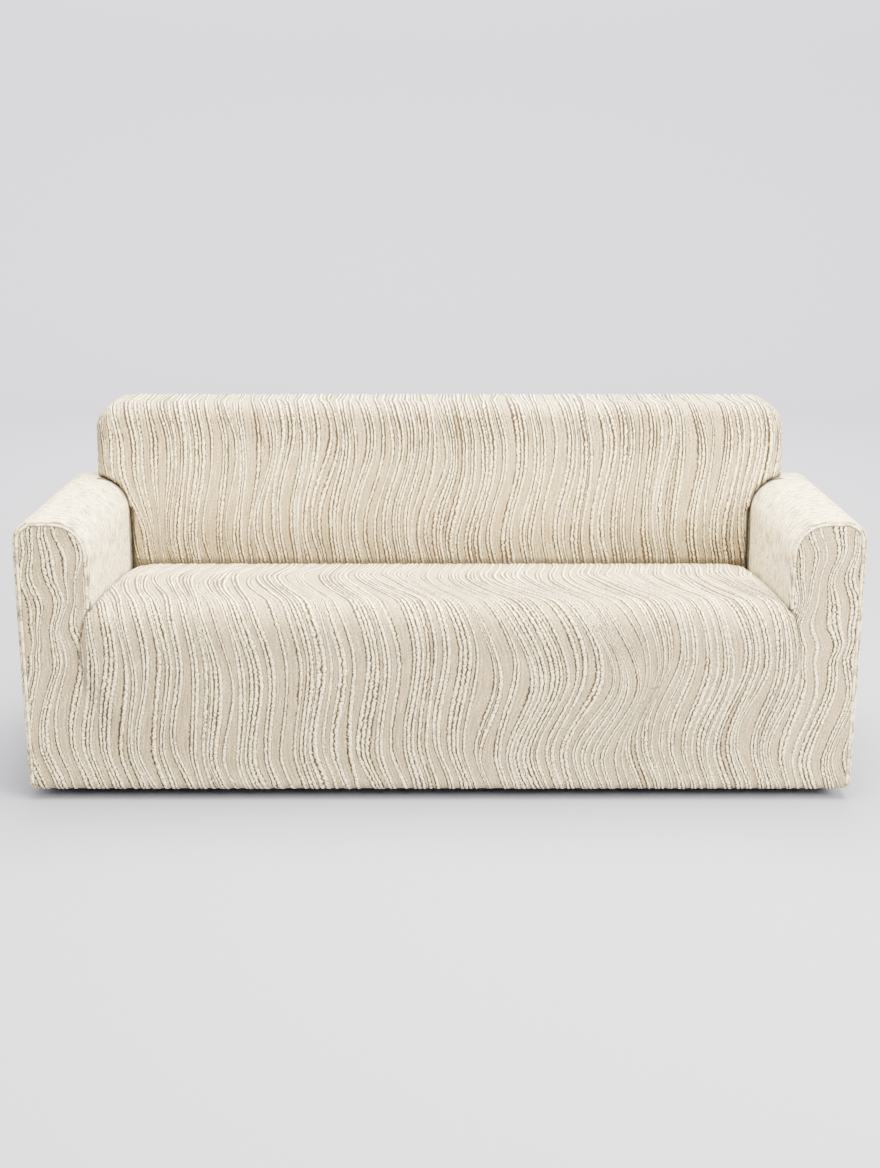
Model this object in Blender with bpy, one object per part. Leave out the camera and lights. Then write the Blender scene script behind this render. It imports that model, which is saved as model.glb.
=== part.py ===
"""Stretch slipcover for a three-seat sofa, as it hangs on the sofa it is fitted to.

The cover is a set of thin cloth sheets, hollow inside and open underneath:
  front_seat       seat, apron and both arm fronts, one piece with darts where the arms start
  arm_band_*       outer side, top and inner side of an arm, with its hem and tucked edges
  welt_*           narrow rolled welt between an arm band and the arm front
  inside_back      front of the back, wrapped over its top and round its two sides
  outside_back     rear panel
X runs to the right of the sofa, -Y is its front, Z is up from the hem. The origin is the
middle of the cover's base. Every outline below is the cloth's outer surface.
"""

import bpy
import bmesh
import numpy as np

# ---- cloth and sewing ----
CLOTH = 0.0025
SEAM = 0.0007
TUCK = 0.024
HEM_ROLL = 0.022
HEM_LIP = 0.020
HEM_CORNER = 0.16
ARC_STEPS = 4

# ---- the whole cover ----
FACE_Y = -0.354
REAR_Y = 0.372
HALF_HEM = 0.9665
HALF_FULL = 0.969
FULL_Z = 0.569

# ---- arms ----
ARM_TOP = 0.651
ARM_OUT = 0.967
ARM_IN = 0.796
OUTER_SHOULDER = 0.050
INNER_SHOULDER = 0.082
FRONT_EDGE = 0.005
REAR_EDGE = 0.030
REAR_FALL_START = 0.216
REAR_FALL_RADIUS = 0.170
REAR_STATIONS = (0.250, 0.300, REAR_Y - REAR_EDGE)
WELT_RADIUS = 0.0035
WELT_BEHIND = 0.001
WELT_INSET = FRONT_EDGE + 1.5 * SEAM + WELT_RADIUS
PANEL_INSET = WELT_INSET + WELT_RADIUS + SEAM

# ---- back ----
BACK_HALF = 0.880
BACK_TOP = 0.839
BACK_CORNER = 0.066
BACK_ROLL = 0.045
BACK_FOOT_Y = 0.136
BACK_LEAN = 0.075
BACK_CROWN = 0.012
BACK_CREASE_Z = 0.419
BACK_ROWS = (0.480, 0.715, 6)
BACK_SETTLE = 0.15
BACK_SIDE_SETTLE = 0.13
BETWEEN_ARMS = ARM_IN - 2 * SEAM
REAR_FULL = 0.0045
REAR_UNEVEN = 0.047

# ---- seat ----
SEAT_SIDE = ARM_IN - 2 * SEAM
SEAT_REAR_Y = BACK_FOOT_Y - 2 * SEAM
SEAT_ROUND_REAR = 0.080
SEAT_ROUND = 0.045
DART_Z = 0.314
APRON_FADE = 0.10
APRON_WIDEN = 0.16

# where the seat meets the arms: along the arm, round its front edge, then down the arm front
CREASE = (
    # x,         y,       z
    (SEAT_SIDE, SEAT_REAR_Y, 0.409),
    (SEAT_SIDE, 0.000, 0.425),
    (SEAT_SIDE, -0.180, 0.437),
    (SEAT_SIDE, FACE_Y + 0.0045, 0.443),
    (0.799, FACE_Y, 0.440),
    (0.809, FACE_Y, 0.430),
    (0.820, FACE_Y, 0.389),
    (0.826, FACE_Y, 0.354),
    (0.825, FACE_Y, DART_Z),
)
CREASE_TOP_ROWS = 4
SEAT_TOP_ROWS = 5
SEAT_FRONT_ROWS = 8
APRON_ROWS = 4
ARM_FRONT_ROWS = 13
ARM_FRONT_COLUMNS = 5

# section through the middle of the seat, from its rear edge to the start of the apron
SEAT_SECTION = (
    # y,          z,     rounding
    (SEAT_REAR_Y, 0.430, 0.0),
    (-0.120, 0.456, 0.80),
    (-0.371, 0.460, 0.060),
    (-0.377, 0.379, 0.120),
    (-0.372, DART_Z, 0.0),
)
APRON_PROUD = FACE_Y - SEAT_SECTION[-1][0]

CREAM = (0.84, 0.80, 0.72, 1.0)


def smooth(t):
    t = np.clip(t, 0.0, 1.0)
    return t * t * (3.0 - 2.0 * t)


def quarter(t):
    """0 to 1 along a quarter circle: flat at the start, upright at the end."""
    t = np.clip(t, 0.0, 1.0)
    return 1.0 - np.sqrt(1.0 - t * t)


def rounded_path(rows, per_arc):
    """Points along a line whose corners (a, b, radius) are rounded with arcs."""
    rows = [np.array(row, float) for row in rows]
    points = [rows[0][:2]]
    for before, corner, after in zip(rows, rows[1:], rows[2:]):
        to_before = before[:2] - corner[:2]
        to_after = after[:2] - corner[:2]
        to_before /= np.linalg.norm(to_before)
        to_after /= np.linalg.norm(to_after)
        half_angle = np.arccos(np.clip(to_before @ to_after, -1.0, 1.0)) / 2.0
        middle = to_before + to_after
        reach = np.linalg.norm(middle)
        if corner[2] == 0.0 or reach < 1e-6:
            points.append(corner[:2])
            continue
        centre = corner[:2] + middle / reach * corner[2] / np.sin(half_angle)
        start = corner[:2] + to_before * corner[2] / np.tan(half_angle) - centre
        end = corner[:2] + to_after * corner[2] / np.tan(half_angle) - centre
        turn = np.pi - 2.0 * half_angle
        for k in range(per_arc + 1):
            a = turn * k / per_arc
            points.append(centre + (start * np.sin(turn - a) + end * np.sin(a)) / np.sin(turn))
    points.append(rows[-1][:2])
    return np.array(points)


def lengths_along(path):
    return np.concatenate(([0.0], np.cumsum(np.linalg.norm(np.diff(path, axis=0), axis=1))))


def at_length(path, wanted):
    run = lengths_along(path)
    return np.stack([np.interp(wanted, run, column) for column in path.T], axis=-1)


def spread(path, count):
    """count + 1 points evenly spaced along a path."""
    return at_length(path, np.linspace(0.0, lengths_along(path)[-1], count + 1))


def fill(bottom, top, left, right):
    """Grid of points (rows, columns) inside four edges, which share their corners."""
    v = np.linspace(0.0, 1.0, len(left))[:, None, None]
    u = np.linspace(0.0, 1.0, len(bottom))[None, :, None]
    ruled_up = (1 - v) * bottom[None] + v * top[None]
    ruled_over = (1 - u) * left[:, None] + u * right[:, None]
    corners = (1 - v) * ((1 - u) * bottom[0] + u * bottom[-1]) + v * ((1 - u) * top[0] + u * top[-1])
    return ruled_up + ruled_over - corners


def mirrored(grid):
    """The same grid on the left of the sofa, with its columns still running the outward way."""
    return (grid * np.array([-1.0, 1.0, 1.0]))[:, ::-1]


def cloth(name, grids, facing_out=True):
    """One thin sheet from grids (points, kept cells or None) that meet at shared points."""
    mesh = bpy.data.meshes.new(name)
    sheet = bmesh.new()
    for points, kept in grids:
        rows, columns = points.shape[:2]
        corners = [[sheet.verts.new(p) for p in row] for row in points]
        for r in range(rows - 1):
            for c in range(columns - 1):
                if kept is not None and not kept[r, c]:
                    continue
                cell = (corners[r][c], corners[r][c + 1], corners[r + 1][c + 1], corners[r + 1][c])
                sheet.faces.new(cell if facing_out else cell[::-1])
    loose = [v for v in sheet.verts if not v.link_faces]
    bmesh.ops.delete(sheet, geom=loose, context="VERTS")
    bmesh.ops.remove_doubles(sheet, verts=sheet.verts, dist=0.00005)
    bmesh.ops.triangulate(sheet, faces=sheet.faces)
    sheet.to_mesh(mesh)
    sheet.free()
    piece = place_piece(name, mesh)
    thick = piece.modifiers.new("thickness", "SOLIDIFY")
    thick.thickness = CLOTH
    thick.offset = -1.0
    thick.use_even_offset = True
    mesh.shade_smooth()


def place_piece(name, data):
    """An object of the cover with its own cream cloth."""
    skin = bpy.data.materials.new(name + "_cloth")
    skin.use_nodes = True
    shader = skin.node_tree.nodes["Principled BSDF"]
    shader.inputs["Base Color"].default_value = CREAM
    shader.inputs["Roughness"].default_value = 0.9
    shader.inputs["Metallic"].default_value = 0.0
    data.materials.append(skin)
    piece = bpy.data.objects.new(name, data)
    bpy.context.scene.collection.objects.link(piece)
    piece.parent = bpy.data.objects["slipcover"]
    return piece


# ---- arm band: section round the arm, swept from front to rear ----

def arm_section():
    """Section of an arm (x, z): hem, outer side, top, inner side, tucked edge."""
    rows = (
        (HALF_HEM - HEM_ROLL - HEM_LIP, 0.0, 0.0),
        (HALF_HEM, 0.0, HEM_ROLL),
        (HALF_HEM + 0.001, 0.200, 0.0),
        (HALF_HEM + 0.002, 0.400, 0.0),
        (HALF_FULL, FULL_Z, 0.0),
        (ARM_OUT, ARM_TOP, OUTER_SHOULDER),
        (ARM_IN, ARM_TOP, INNER_SHOULDER),
        (ARM_IN, CREASE[3][2] + 0.010, 0.0),
        (ARM_IN, CREASE[0][2] - TUCK, 0.0),
    )
    return rounded_path(rows, ARC_STEPS)


SECTION = arm_section()
HEM_TOP_POINT = ARC_STEPS + 1
WELT_START = ARC_STEPS - 1
CREASE_POINT = len(SECTION) - 2
BENEATH_BACK = CREASE_POINT - ARC_STEPS


def outward(path):
    """Unit directions to the right-hand side of a path."""
    along = np.gradient(path, axis=0)
    along /= np.linalg.norm(along, axis=1)[:, None]
    return np.stack([along[:, 1], -along[:, 0]], axis=1)


def section_inset(front, rear=0.0):
    """The arm's section shrunk towards its middle, with the hem kept down on its level."""
    away = outward(SECTION)
    low = SECTION[:, 1] < DART_Z
    away[low] = (1.0, 0.0)
    rear_away = away.copy()
    beside_back = (SECTION[:, 0] < ARM_OUT - OUTER_SHOULDER + 0.001) & (SECTION[:, 1] > FULL_Z)
    rear_away[beside_back] = (0.0, 1.0)
    return SECTION - away * front - rear_away * rear


def rear_fall(y):
    """How far the arm's top has come down where it rolls over to the rear."""
    past = np.clip(y - REAR_FALL_START, 0.0, None)
    return REAR_FALL_RADIUS - np.sqrt(REAR_FALL_RADIUS**2 - past**2)


def rear_inset(y):
    return REAR_EDGE * quarter((y - REAR_Y + REAR_EDGE) / REAR_EDGE)


def lowered(z, y):
    """Height of a point of the arm's section at y, once the top has rolled down."""
    return z - rear_fall(y) * (z / ARM_TOP) ** 2


def arm_row(y, extra_front=0.0, extra_rear=0.0):
    """The arm's section at one y, with its hem following the sofa's corners."""
    front = FRONT_EDGE * quarter((FACE_Y + FRONT_EDGE - y) / FRONT_EDGE)
    moved = section_inset(front + extra_front, rear_inset(y) + extra_rear)
    lip = np.clip(HALF_HEM - HEM_ROLL - SECTION[:, 0], 0.0, None) * (SECTION[:, 1] < DART_Z)
    turned = HEM_ROLL * quarter(1.0 - SECTION[:, 1] / HEM_ROLL) + lip
    corner = smooth((REAR_Y - y) / HEM_CORNER) - smooth((y - FACE_Y) / HEM_CORNER)
    return np.stack([moved[:, 0], y + turned * corner, lowered(moved[:, 1], y)], axis=1)


def arm_band():
    """The band's points and the cells kept: it is cut away where the back stands on it."""
    front = [FACE_Y + FRONT_EDGE * (1.0 - np.cos(a)) for a in np.radians((0, 45, 90))]
    along = [FACE_Y + 0.016, -0.240, -0.090, 0.060, REAR_FALL_START - 0.006]
    rear = list(REAR_STATIONS)
    corner = [REAR_Y - REAR_EDGE * (1.0 - np.sin(a)) for a in np.radians((45, 90))]
    stations = np.array(front + along + rear + corner)
    points = np.array([arm_row(y) for y in stations])
    kept = np.ones((len(stations) - 1, len(SECTION) - 1), bool)
    kept[: len(front), CREASE_POINT:] = False
    kept[len(front) + len(along) - 1:, BENEATH_BACK:] = False
    return points, kept


# ---- welt: a round cord of cloth along the front edge of the band ----

def welt(name, side):
    path = arm_row(FACE_Y, WELT_INSET - FRONT_EDGE)[WELT_START: CREASE_POINT + 1]
    lifted = WELT_RADIUS * smooth(1.0 - path[:, 2] / (1.5 * HEM_ROLL))
    path = path * (side, 1.0, 1.0)
    path[:, 1] += WELT_BEHIND + 0.8 * lifted
    path[:, 2] += lifted
    curve = bpy.data.curves.new(name, "CURVE")
    curve.dimensions = "3D"
    curve.bevel_depth = WELT_RADIUS
    curve.bevel_resolution = 2
    curve.use_fill_caps = True
    run = curve.splines.new("POLY")
    run.points.add(len(path) - 1)
    for point, place in zip(run.points, path):
        point.co = (*place, 1.0)
    place_piece(name, curve)


# ---- front and seat: one sheet whose darts start where the arms meet the apron ----

def seat_columns():
    """Places across the seat as shares of its half width, close together at its rounded edges."""
    even = np.linspace(-0.90, 0.90, 13)
    edge = np.array([0.950, 0.985, 1.0])
    return np.concatenate([-edge[::-1], even, edge])


def seat_block(columns):
    """Seat and seat front down to the darts, in rows from the rear edge forward."""
    crease = np.array(CREASE)
    top = spread(crease[:CREASE_TOP_ROWS], SEAT_TOP_ROWS)
    front = spread(crease[CREASE_TOP_ROWS - 1:], SEAT_FRONT_ROWS)
    edges = np.concatenate([top, front[1:]])
    section = rounded_path(SEAT_SECTION, ARC_STEPS)
    turn = ARC_STEPS + 2
    middle_top = spread(section[: turn + 1], SEAT_TOP_ROWS)
    middle_front = spread(section[turn:], SEAT_FRONT_ROWS)
    middles = np.concatenate([middle_top, middle_front[1:]])
    rounds = np.interp(np.arange(len(edges)), (0, SEAT_TOP_ROWS), (SEAT_ROUND_REAR, SEAT_ROUND))
    rows = []
    for edge, middle, width in zip(edges, middles, rounds):
        x = columns * edge[0]
        drop = quarter((np.abs(x) - edge[0] + width) / width)
        y = middle[0] + (edge[1] - middle[0]) * drop
        z = middle[1] + (edge[2] - middle[1]) * drop
        rows.append(np.stack([x, y, z], axis=1))
    return np.array(rows)


def front_proud(share, z):
    """How far the apron stands forward of the arm fronts at a share of the seat's half width."""
    height = APRON_PROUD * smooth(z / DART_Z)
    faded = smooth((DART_Z - z) / APRON_FADE)
    width = SEAT_ROUND / CREASE[-1][0] + APRON_WIDEN * smooth(1.0 - z / DART_Z)
    reach = (np.abs(share) - 1.0 + width) / width
    return height * (1.0 - (1.0 - faded) * quarter(reach) - faded * smooth(reach))


def arm_outline():
    """Edge of the arm front beside the welt: up the outer side, over the top, down the inner."""
    outline = spread(section_inset(PANEL_INSET)[HEM_TOP_POINT - 1: CREASE_POINT + 1], 600)
    run = np.gradient(outline, axis=0)
    heading = np.degrees(np.unwrap(np.arctan2(run[:, 1], run[:, 0])))
    return outline, int(np.argmax(heading > 135.0)), int(np.argmax(heading > 225.0))


def arm_front(valley):
    """Right arm front above the dart, between the seat's side and the welt."""
    outline, outer_corner, inner_corner = arm_outline()
    outer_side = outline[: outer_corner + 1]
    start = (np.interp(DART_Z, outer_side[:, 1], outer_side[:, 0]), DART_Z)
    right = spread(np.vstack([start, outer_side[outer_side[:, 1] > DART_Z]]), ARM_FRONT_ROWS)
    top = spread(outline[outer_corner: inner_corner + 1], ARM_FRONT_COLUMNS)[::-1]
    beside_welt = spread(outline[inner_corner:][::-1], ARM_FRONT_ROWS - len(valley))
    left = np.concatenate([valley, beside_welt])
    bottom = np.linspace(left[0], right[0], ARM_FRONT_COLUMNS + 1)
    flat = fill(bottom, top, left, right)
    return np.stack([flat[..., 0], np.full(flat.shape[:2], FACE_Y), flat[..., 1]], axis=-1)


def apron(columns, arm):
    """Lower front from arm to arm: down from the darts, then rolled under at the hem."""
    dart_x = CREASE[-1][0]
    across = np.concatenate([-arm[0, ::-1, 0], columns[1:-1] * dart_x, arm[0, :, 0]])
    outline, outer_corner, _ = arm_outline()
    beyond = np.clip((np.abs(across) - dart_x) / (across[-1] - dart_x), 0.0, 1.0)
    rows = []
    for z, turned in hem_rows(DART_Z, APRON_ROWS):
        half = np.interp(max(z, HEM_ROLL), outline[:outer_corner, 1], outline[:outer_corner, 0])
        x = across + np.sign(across) * beyond * (half - across[-1] - turned)
        y = FACE_Y - front_proud(across / dart_x, max(z, HEM_ROLL)) + turned
        rows.append(np.stack([x, y, np.full(len(x), z)], axis=1))
    return np.array(rows)


def hem_rows(top_z, count):
    """Heights from top_z down to the hem's roll, then round it and along its lip."""
    rows = [(z, 0.0) for z in np.linspace(top_z, HEM_ROLL, count + 1)]
    for a in np.radians((30, 60, 90)):
        rows.append((HEM_ROLL * (1.0 - np.sin(a)), HEM_ROLL * (1.0 - np.cos(a))))
    return rows + [(0.0, HEM_ROLL + HEM_LIP)]


def front_seat():
    columns = seat_columns()
    seat = seat_block(columns)
    valley = seat[SEAT_TOP_ROWS + 1:, -1][::-1, ::2]
    arm = arm_front(valley)
    down = np.array([0.0, 0.0, TUCK])
    side = seat[: SEAT_TOP_ROWS + 1, -1:]
    side_flap = np.concatenate([side, side - down], axis=1)
    rear_flap = np.stack([seat[0], seat[0] - down])
    return [
        (seat[::-1], None),
        (apron(columns, arm)[::-1], None),
        (arm, None),
        (mirrored(arm), None),
        (side_flap[::-1], None),
        (mirrored(side_flap)[::-1], None),
        (rear_flap, None),
    ]


# ---- inside back: leaning front, rolled over into top and sides, standing on the arms ----

def arm_top_at(x):
    """Height, just clear of the arm's own surface, at a place beside or beneath the back."""
    clear = section_inset(-2.0 * SEAM)
    over = clear[(SECTION[:, 0] < ARM_OUT - OUTER_SHOULDER + 0.001) & (SECTION[:, 1] > CREASE[3][2] + 0.02)]
    return np.interp(x, over[::-1, 0], over[::-1, 1])


def back_face_y(x, z):
    """The back's front surface: leaning, a little crowned between the arms."""
    up = np.clip((z - CREASE[0][2]) / (BACK_TOP - CREASE[0][2]), 0.0, 1.0)
    lean = BACK_LEAN * np.clip(z - CREASE[0][2], 0.0, None)
    middle = 1.0 - smooth((np.abs(x) - BETWEEN_ARMS + 0.08) / 0.10)
    return BACK_FOOT_Y + lean - BACK_CROWN * 4.0 * up * (1.0 - up) * middle


def back_front():
    """Front of the back between the arms, and its right-hand strip above the arm."""
    inner_half = BACK_HALF - BACK_ROLL
    inner_top = BACK_TOP - BACK_ROLL
    foot = CREASE[0][2] - TUCK
    corner = BACK_CORNER - BACK_ROLL
    into_corner = inner_top - corner * np.array([1.0, 0.46, 0.0])
    levels = np.concatenate([[foot, BACK_CREASE_Z], np.linspace(*BACK_ROWS), into_corner])
    across = np.linspace(-BETWEEN_ARMS, BETWEEN_ARMS, 13)
    shoulder = SECTION[(SECTION[:, 0] > ARM_IN + 0.001) & (SECTION[:, 0] < inner_half - 0.004), 0]
    strip = np.concatenate([[BETWEEN_ARMS], np.sort(shoulder), [inner_half]])

    def shape(x, z):
        p = np.clip((np.abs(x) - inner_half) / corner + 1.0, 0.0, 1.0)
        q = np.clip((z - inner_top) / corner + 1.0, 0.0, 1.0)
        x = x - np.sign(x) * corner * p * (1.0 - np.sqrt(1.0 - q * q / 2.0))
        z = z - corner * q * (1.0 - np.sqrt(1.0 - p * p / 2.0))
        return np.stack([x, back_face_y(x, z), z], axis=-1)

    middle = shape(*np.meshgrid(across, levels))
    rows = levels[levels > ARM_TOP - INNER_SHOULDER]
    x, z = np.meshgrid(strip, rows)
    settle = 1.0 - smooth((z - rows[0]) / BACK_SETTLE)
    z[:, 1:] += ((arm_top_at(strip) - rows[0]) * settle)[:, 1:]
    return middle, shape(x, z)


def back_rings(middle, side):
    """From the front's edge over the roll, rearward along top and sides, to the rear panel."""
    flip = np.array([-1.0, 1.0, 1.0])
    edge = np.concatenate(
        [
            side[:, -1] * flip,
            (side[-1] * flip)[-2::-1],
            middle[-1, 1:-1],
            side[-1],
            side[-2::-1, -1],
        ]
    )
    flat = edge[:, ::2]
    away = -outward(flat)
    away[0] = (-1.0, 0.0)
    away[-1] = (1.0, 0.0)
    front_y = edge[:, 1]
    rear_start = REAR_Y - REAR_EDGE
    rings = []
    for a in np.radians((0, 30, 60, 90)):
        rings.append((BACK_ROLL * np.sin(a), front_y + BACK_ROLL * (1.0 - np.cos(a))))
    for y in REAR_STATIONS:
        rings.append((BACK_ROLL, np.full(len(edge), y)))
    for a in np.radians((45, 90)):
        reach = BACK_ROLL - REAR_EDGE * (1.0 - np.cos(a))
        rings.append((reach, np.full(len(edge), rear_start + REAR_EDGE * np.sin(a))))
    above_arm = flat[:, 1] - flat[0, 1]
    settle = (1.0 - smooth(above_arm / BACK_SIDE_SETTLE)) * (np.abs(away[:, 0]) > 0.9)
    grid = []
    for reach, y in rings:
        x = flat[:, 0] + away[:, 0] * reach
        z = flat[:, 1] + away[:, 1] * reach
        lowest = lowered(arm_top_at(np.abs(x)) - 0.4 * rear_inset(y), y) + 3.0 * SEAM
        z = z + (lowest - flat[0, 1]) * settle
        grid.append(np.stack([x, y, z], axis=1))
    return np.array(grid)


# ---- outside back: rear panel with its own hem, standing a little full between its seams ----

def filled_out(block):
    """Points (x, y, z) of a flat block of the rear panel, fuller towards the panel's middle."""
    x, z = block[..., 0], block[..., 1]
    across = np.clip(1.0 - (x / (BACK_HALF - REAR_EDGE)) ** 2, 0.0, 1.0)
    up = np.sin(np.pi * np.clip((z - HEM_ROLL) / (BACK_TOP - REAR_EDGE - HEM_ROLL), 0.0, 1.0))
    return np.stack([x, REAR_Y + REAR_FULL * across * up, z], axis=-1)


def outside_back(upper_edge, side_rows):
    """Rear panel: wide across the arms, narrower above them, sewn to bands and inside back."""
    outline = arm_row(REAR_Y, 0.0, 2.0 * SEAM)[HEM_TOP_POINT: BENEATH_BACK + 1, ::2]
    corner = BENEATH_BACK - ARC_STEPS - HEM_TOP_POINT
    upper = upper_edge[:, ::2]
    away = -outward(upper)
    away[0] = (-1.0, 0.0)
    away[-1] = (1.0, 0.0)
    upper = upper - away * 2.0 * SEAM
    half = SECTION[BENEATH_BACK, 0] - 2.0 * SEAM
    upper[0, 0] = -half
    upper[-1, 0] = half
    step_z = outline[-1, 1]
    outline[-1, 0] = half

    right = outline[: corner + 1]
    top = outline[corner:][::-1]
    up = lengths_along(right) / lengths_along(right)[-1]
    left = np.stack([np.full(len(up), half), HEM_ROLL + (step_z - HEM_ROLL) * up], axis=1)
    side = fill(np.linspace(left[0], right[0], len(top)), top, left, right)

    upper_top = upper[side_rows - 1: len(upper) - side_rows + 1]
    over = np.linspace(-1.0, 1.0, len(upper_top))
    over -= REAR_UNEVEN * np.sin(np.pi * over)
    step = np.stack([half * over, np.full(len(over), step_z)], axis=1)
    upper_left = np.concatenate([step[:1], upper[:side_rows]])
    upper_right = np.concatenate([step[-1:], upper[: -side_rows - 1: -1]])
    above = fill(step, upper_top, upper_left, upper_right)
    low = np.stack([step[:, 0], np.full(len(step), HEM_ROLL)], axis=1)
    middle = fill(low, step, left * (-1.0, 1.0), left)

    across = np.concatenate([-side[0, :0:-1, 0], step[:, 0], side[0, 1:, 0]])
    beyond = np.clip((np.abs(across) - half) / (across[-1] - half), 0.0, 1.0)
    hem = []
    for z, turned in hem_rows(HEM_ROLL, 1)[1:]:
        x = across - np.sign(across) * beyond * turned
        hem.append(np.stack([x, np.full(len(x), REAR_Y - turned), np.full(len(x), z)], axis=1))
    return [
        (np.array(hem)[::-1], None),
        (filled_out(side), None),
        (mirrored(filled_out(side)), None),
        (filled_out(middle), None),
        (filled_out(above), None),
    ]


def build():
    for old in list(bpy.data.objects):
        bpy.data.objects.remove(old, do_unlink=True)
    root = bpy.data.objects.new("slipcover", None)
    bpy.context.scene.collection.objects.link(root)
    cloth("front_seat", front_seat())
    band, kept = arm_band()
    cloth("arm_band_right", [(band, kept)], facing_out=False)
    cloth("arm_band_left", [(band * (-1.0, 1.0, 1.0), kept)])
    welt("welt_right", 1.0)
    welt("welt_left", -1.0)
    middle, side = back_front()
    rings = back_rings(middle, side)
    cloth("inside_back", [(middle, None), (side, None), (mirrored(side), None), (rings, None)])
    cloth("outside_back", outside_back(rings[-1], len(side)), facing_out=False)


build()
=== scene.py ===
import bpy
import numpy as np
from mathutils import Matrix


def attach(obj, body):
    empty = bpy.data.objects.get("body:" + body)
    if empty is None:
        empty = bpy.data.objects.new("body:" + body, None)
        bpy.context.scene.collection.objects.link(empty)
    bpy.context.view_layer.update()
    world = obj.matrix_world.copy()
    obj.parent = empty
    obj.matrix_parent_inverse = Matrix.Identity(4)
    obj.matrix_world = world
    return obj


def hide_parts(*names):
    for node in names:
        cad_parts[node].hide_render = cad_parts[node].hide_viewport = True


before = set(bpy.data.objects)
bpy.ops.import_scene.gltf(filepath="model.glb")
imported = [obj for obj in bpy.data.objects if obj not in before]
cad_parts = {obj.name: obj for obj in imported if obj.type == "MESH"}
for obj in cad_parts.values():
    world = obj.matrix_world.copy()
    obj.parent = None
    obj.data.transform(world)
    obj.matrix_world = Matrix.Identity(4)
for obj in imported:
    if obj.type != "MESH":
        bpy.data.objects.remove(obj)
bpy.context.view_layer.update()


# ==== Front and seat ============================================================================
# One wide piece of ribbed stretch knit, about 2.0 m by 1.1 m. It covers the seat, rolls over its
# front edge, falls to a hem rolled under at the floor and carries both arm fronts. Its side and
# rear edges are tucked down, and a short dart starts where each arm meets the apron.

# thickness of the cloth, gap at a seam, depth of a tucked edge, and the hem's roll and its lip
CLOTH = 0.0025
SEAM = 0.0007
TUCK = 0.024
HEM_ROLL = 0.022
HEM_LIP = 0.020

# plane of the arm fronts, and half the width at the hem and at its fullest, FULL_Z above it
FACE_Y = -0.354
HALF_HEM = 0.9665
HALF_FULL = 0.969
FULL_Z = 0.569

# an arm, its rounded shoulders, and how far in from its outside the welt and the front's edge lie
ARM_TOP = 0.651
ARM_OUT = 0.967
ARM_IN = 0.796
OUTER_SHOULDER = 0.050
INNER_SHOULDER = 0.082
FRONT_EDGE = 0.005
WELT_RADIUS = 0.0035
WELT_INSET = FRONT_EDGE + 1.5 * SEAM + WELT_RADIUS
PANEL_INSET = WELT_INSET + WELT_RADIUS + SEAM

# the seat ends at the foot of the back and rounds down at its sides, and the apron below it
# stands a little proud of the arm fronts and fades into them towards the hem
BACK_FOOT_Y = 0.136
SEAT_SIDE = ARM_IN - 2 * SEAM
SEAT_REAR_Y = BACK_FOOT_Y - 2 * SEAM
SEAT_ROUND_REAR = 0.080
SEAT_ROUND = 0.045
DART_Z = 0.314
APRON_FADE = 0.10
APRON_WIDEN = 0.16

# where the seat meets the arms: along the arm, round its front edge, then down the arm front
CREASE = (
    # x,         y,       z
    (SEAT_SIDE, SEAT_REAR_Y, 0.409),
    (SEAT_SIDE, 0.000, 0.425),
    (SEAT_SIDE, -0.180, 0.437),
    (SEAT_SIDE, FACE_Y + 0.0045, 0.443),
    (0.799, FACE_Y, 0.440),
    (0.809, FACE_Y, 0.430),
    (0.820, FACE_Y, 0.389),
    (0.826, FACE_Y, 0.354),
    (0.825, FACE_Y, DART_Z),
)
CREASE_TOP_POINTS = 4
DART_X = CREASE[-1][0]

# section through the middle of the seat, from its rear edge to the start of the apron
SEAT_SECTION = (
    # y,          z,     rounding
    (SEAT_REAR_Y, 0.430, 0.0),
    (-0.120, 0.456, 0.80),
    (-0.371, 0.460, 0.060),
    (-0.377, 0.379, 0.120),
    (-0.372, DART_Z, 0.0),
)
APRON_PROUD = FACE_Y - SEAT_SECTION[-1][0]
# points along each rounded corner, and along the edge of an arm front
ARC = 12
OUTLINE_POINTS = 1200


def smooth(t):
    """0 to 1, easing out of 0 and into 1."""
    t = np.clip(t, 0.0, 1.0)
    return t * t * (3.0 - 2.0 * t)


def quarter(t):
    """0 to 1 along a quarter circle: flat at the start, upright at the end."""
    t = np.clip(t, 0.0, 1.0)
    return 1.0 - np.sqrt(1.0 - t * t)


def quarter_turn(count):
    """Angles from 0 to 90 degrees in count steps."""
    return np.radians(np.linspace(0.0, 90.0, count + 1))


def rounded_path(rows, per_arc):
    """Points along a line whose corners (a, b, radius) are rounded with arcs."""
    rows = [np.array(row, float) for row in rows]
    points = [rows[0][:2]]
    for before, corner, after in zip(rows, rows[1:], rows[2:]):
        to_before = before[:2] - corner[:2]
        to_after = after[:2] - corner[:2]
        to_before /= np.linalg.norm(to_before)
        to_after /= np.linalg.norm(to_after)
        half_angle = np.arccos(np.clip(to_before @ to_after, -1.0, 1.0)) / 2.0
        middle = to_before + to_after
        reach = np.linalg.norm(middle)
        if corner[2] == 0.0 or reach < 1e-6:
            points.append(corner[:2])
            continue
        centre = corner[:2] + middle / reach * corner[2] / np.sin(half_angle)
        start = corner[:2] + to_before * corner[2] / np.tan(half_angle) - centre
        end = corner[:2] + to_after * corner[2] / np.tan(half_angle) - centre
        turn = np.pi - 2.0 * half_angle
        for k in range(per_arc + 1):
            a = turn * k / per_arc
            points.append(centre + (start * np.sin(turn - a) + end * np.sin(a)) / np.sin(turn))
    points.append(rows[-1][:2])
    return np.array(points)


def lengths_along(path):
    return np.concatenate(([0.0], np.cumsum(np.linalg.norm(np.diff(path, axis=0), axis=1))))


def spread(path, count):
    """count + 1 points evenly spaced along a path."""
    run = lengths_along(path)
    wanted = np.linspace(0.0, run[-1], count + 1)
    return np.stack([np.interp(wanted, run, column) for column in path.T], axis=-1)


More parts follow.
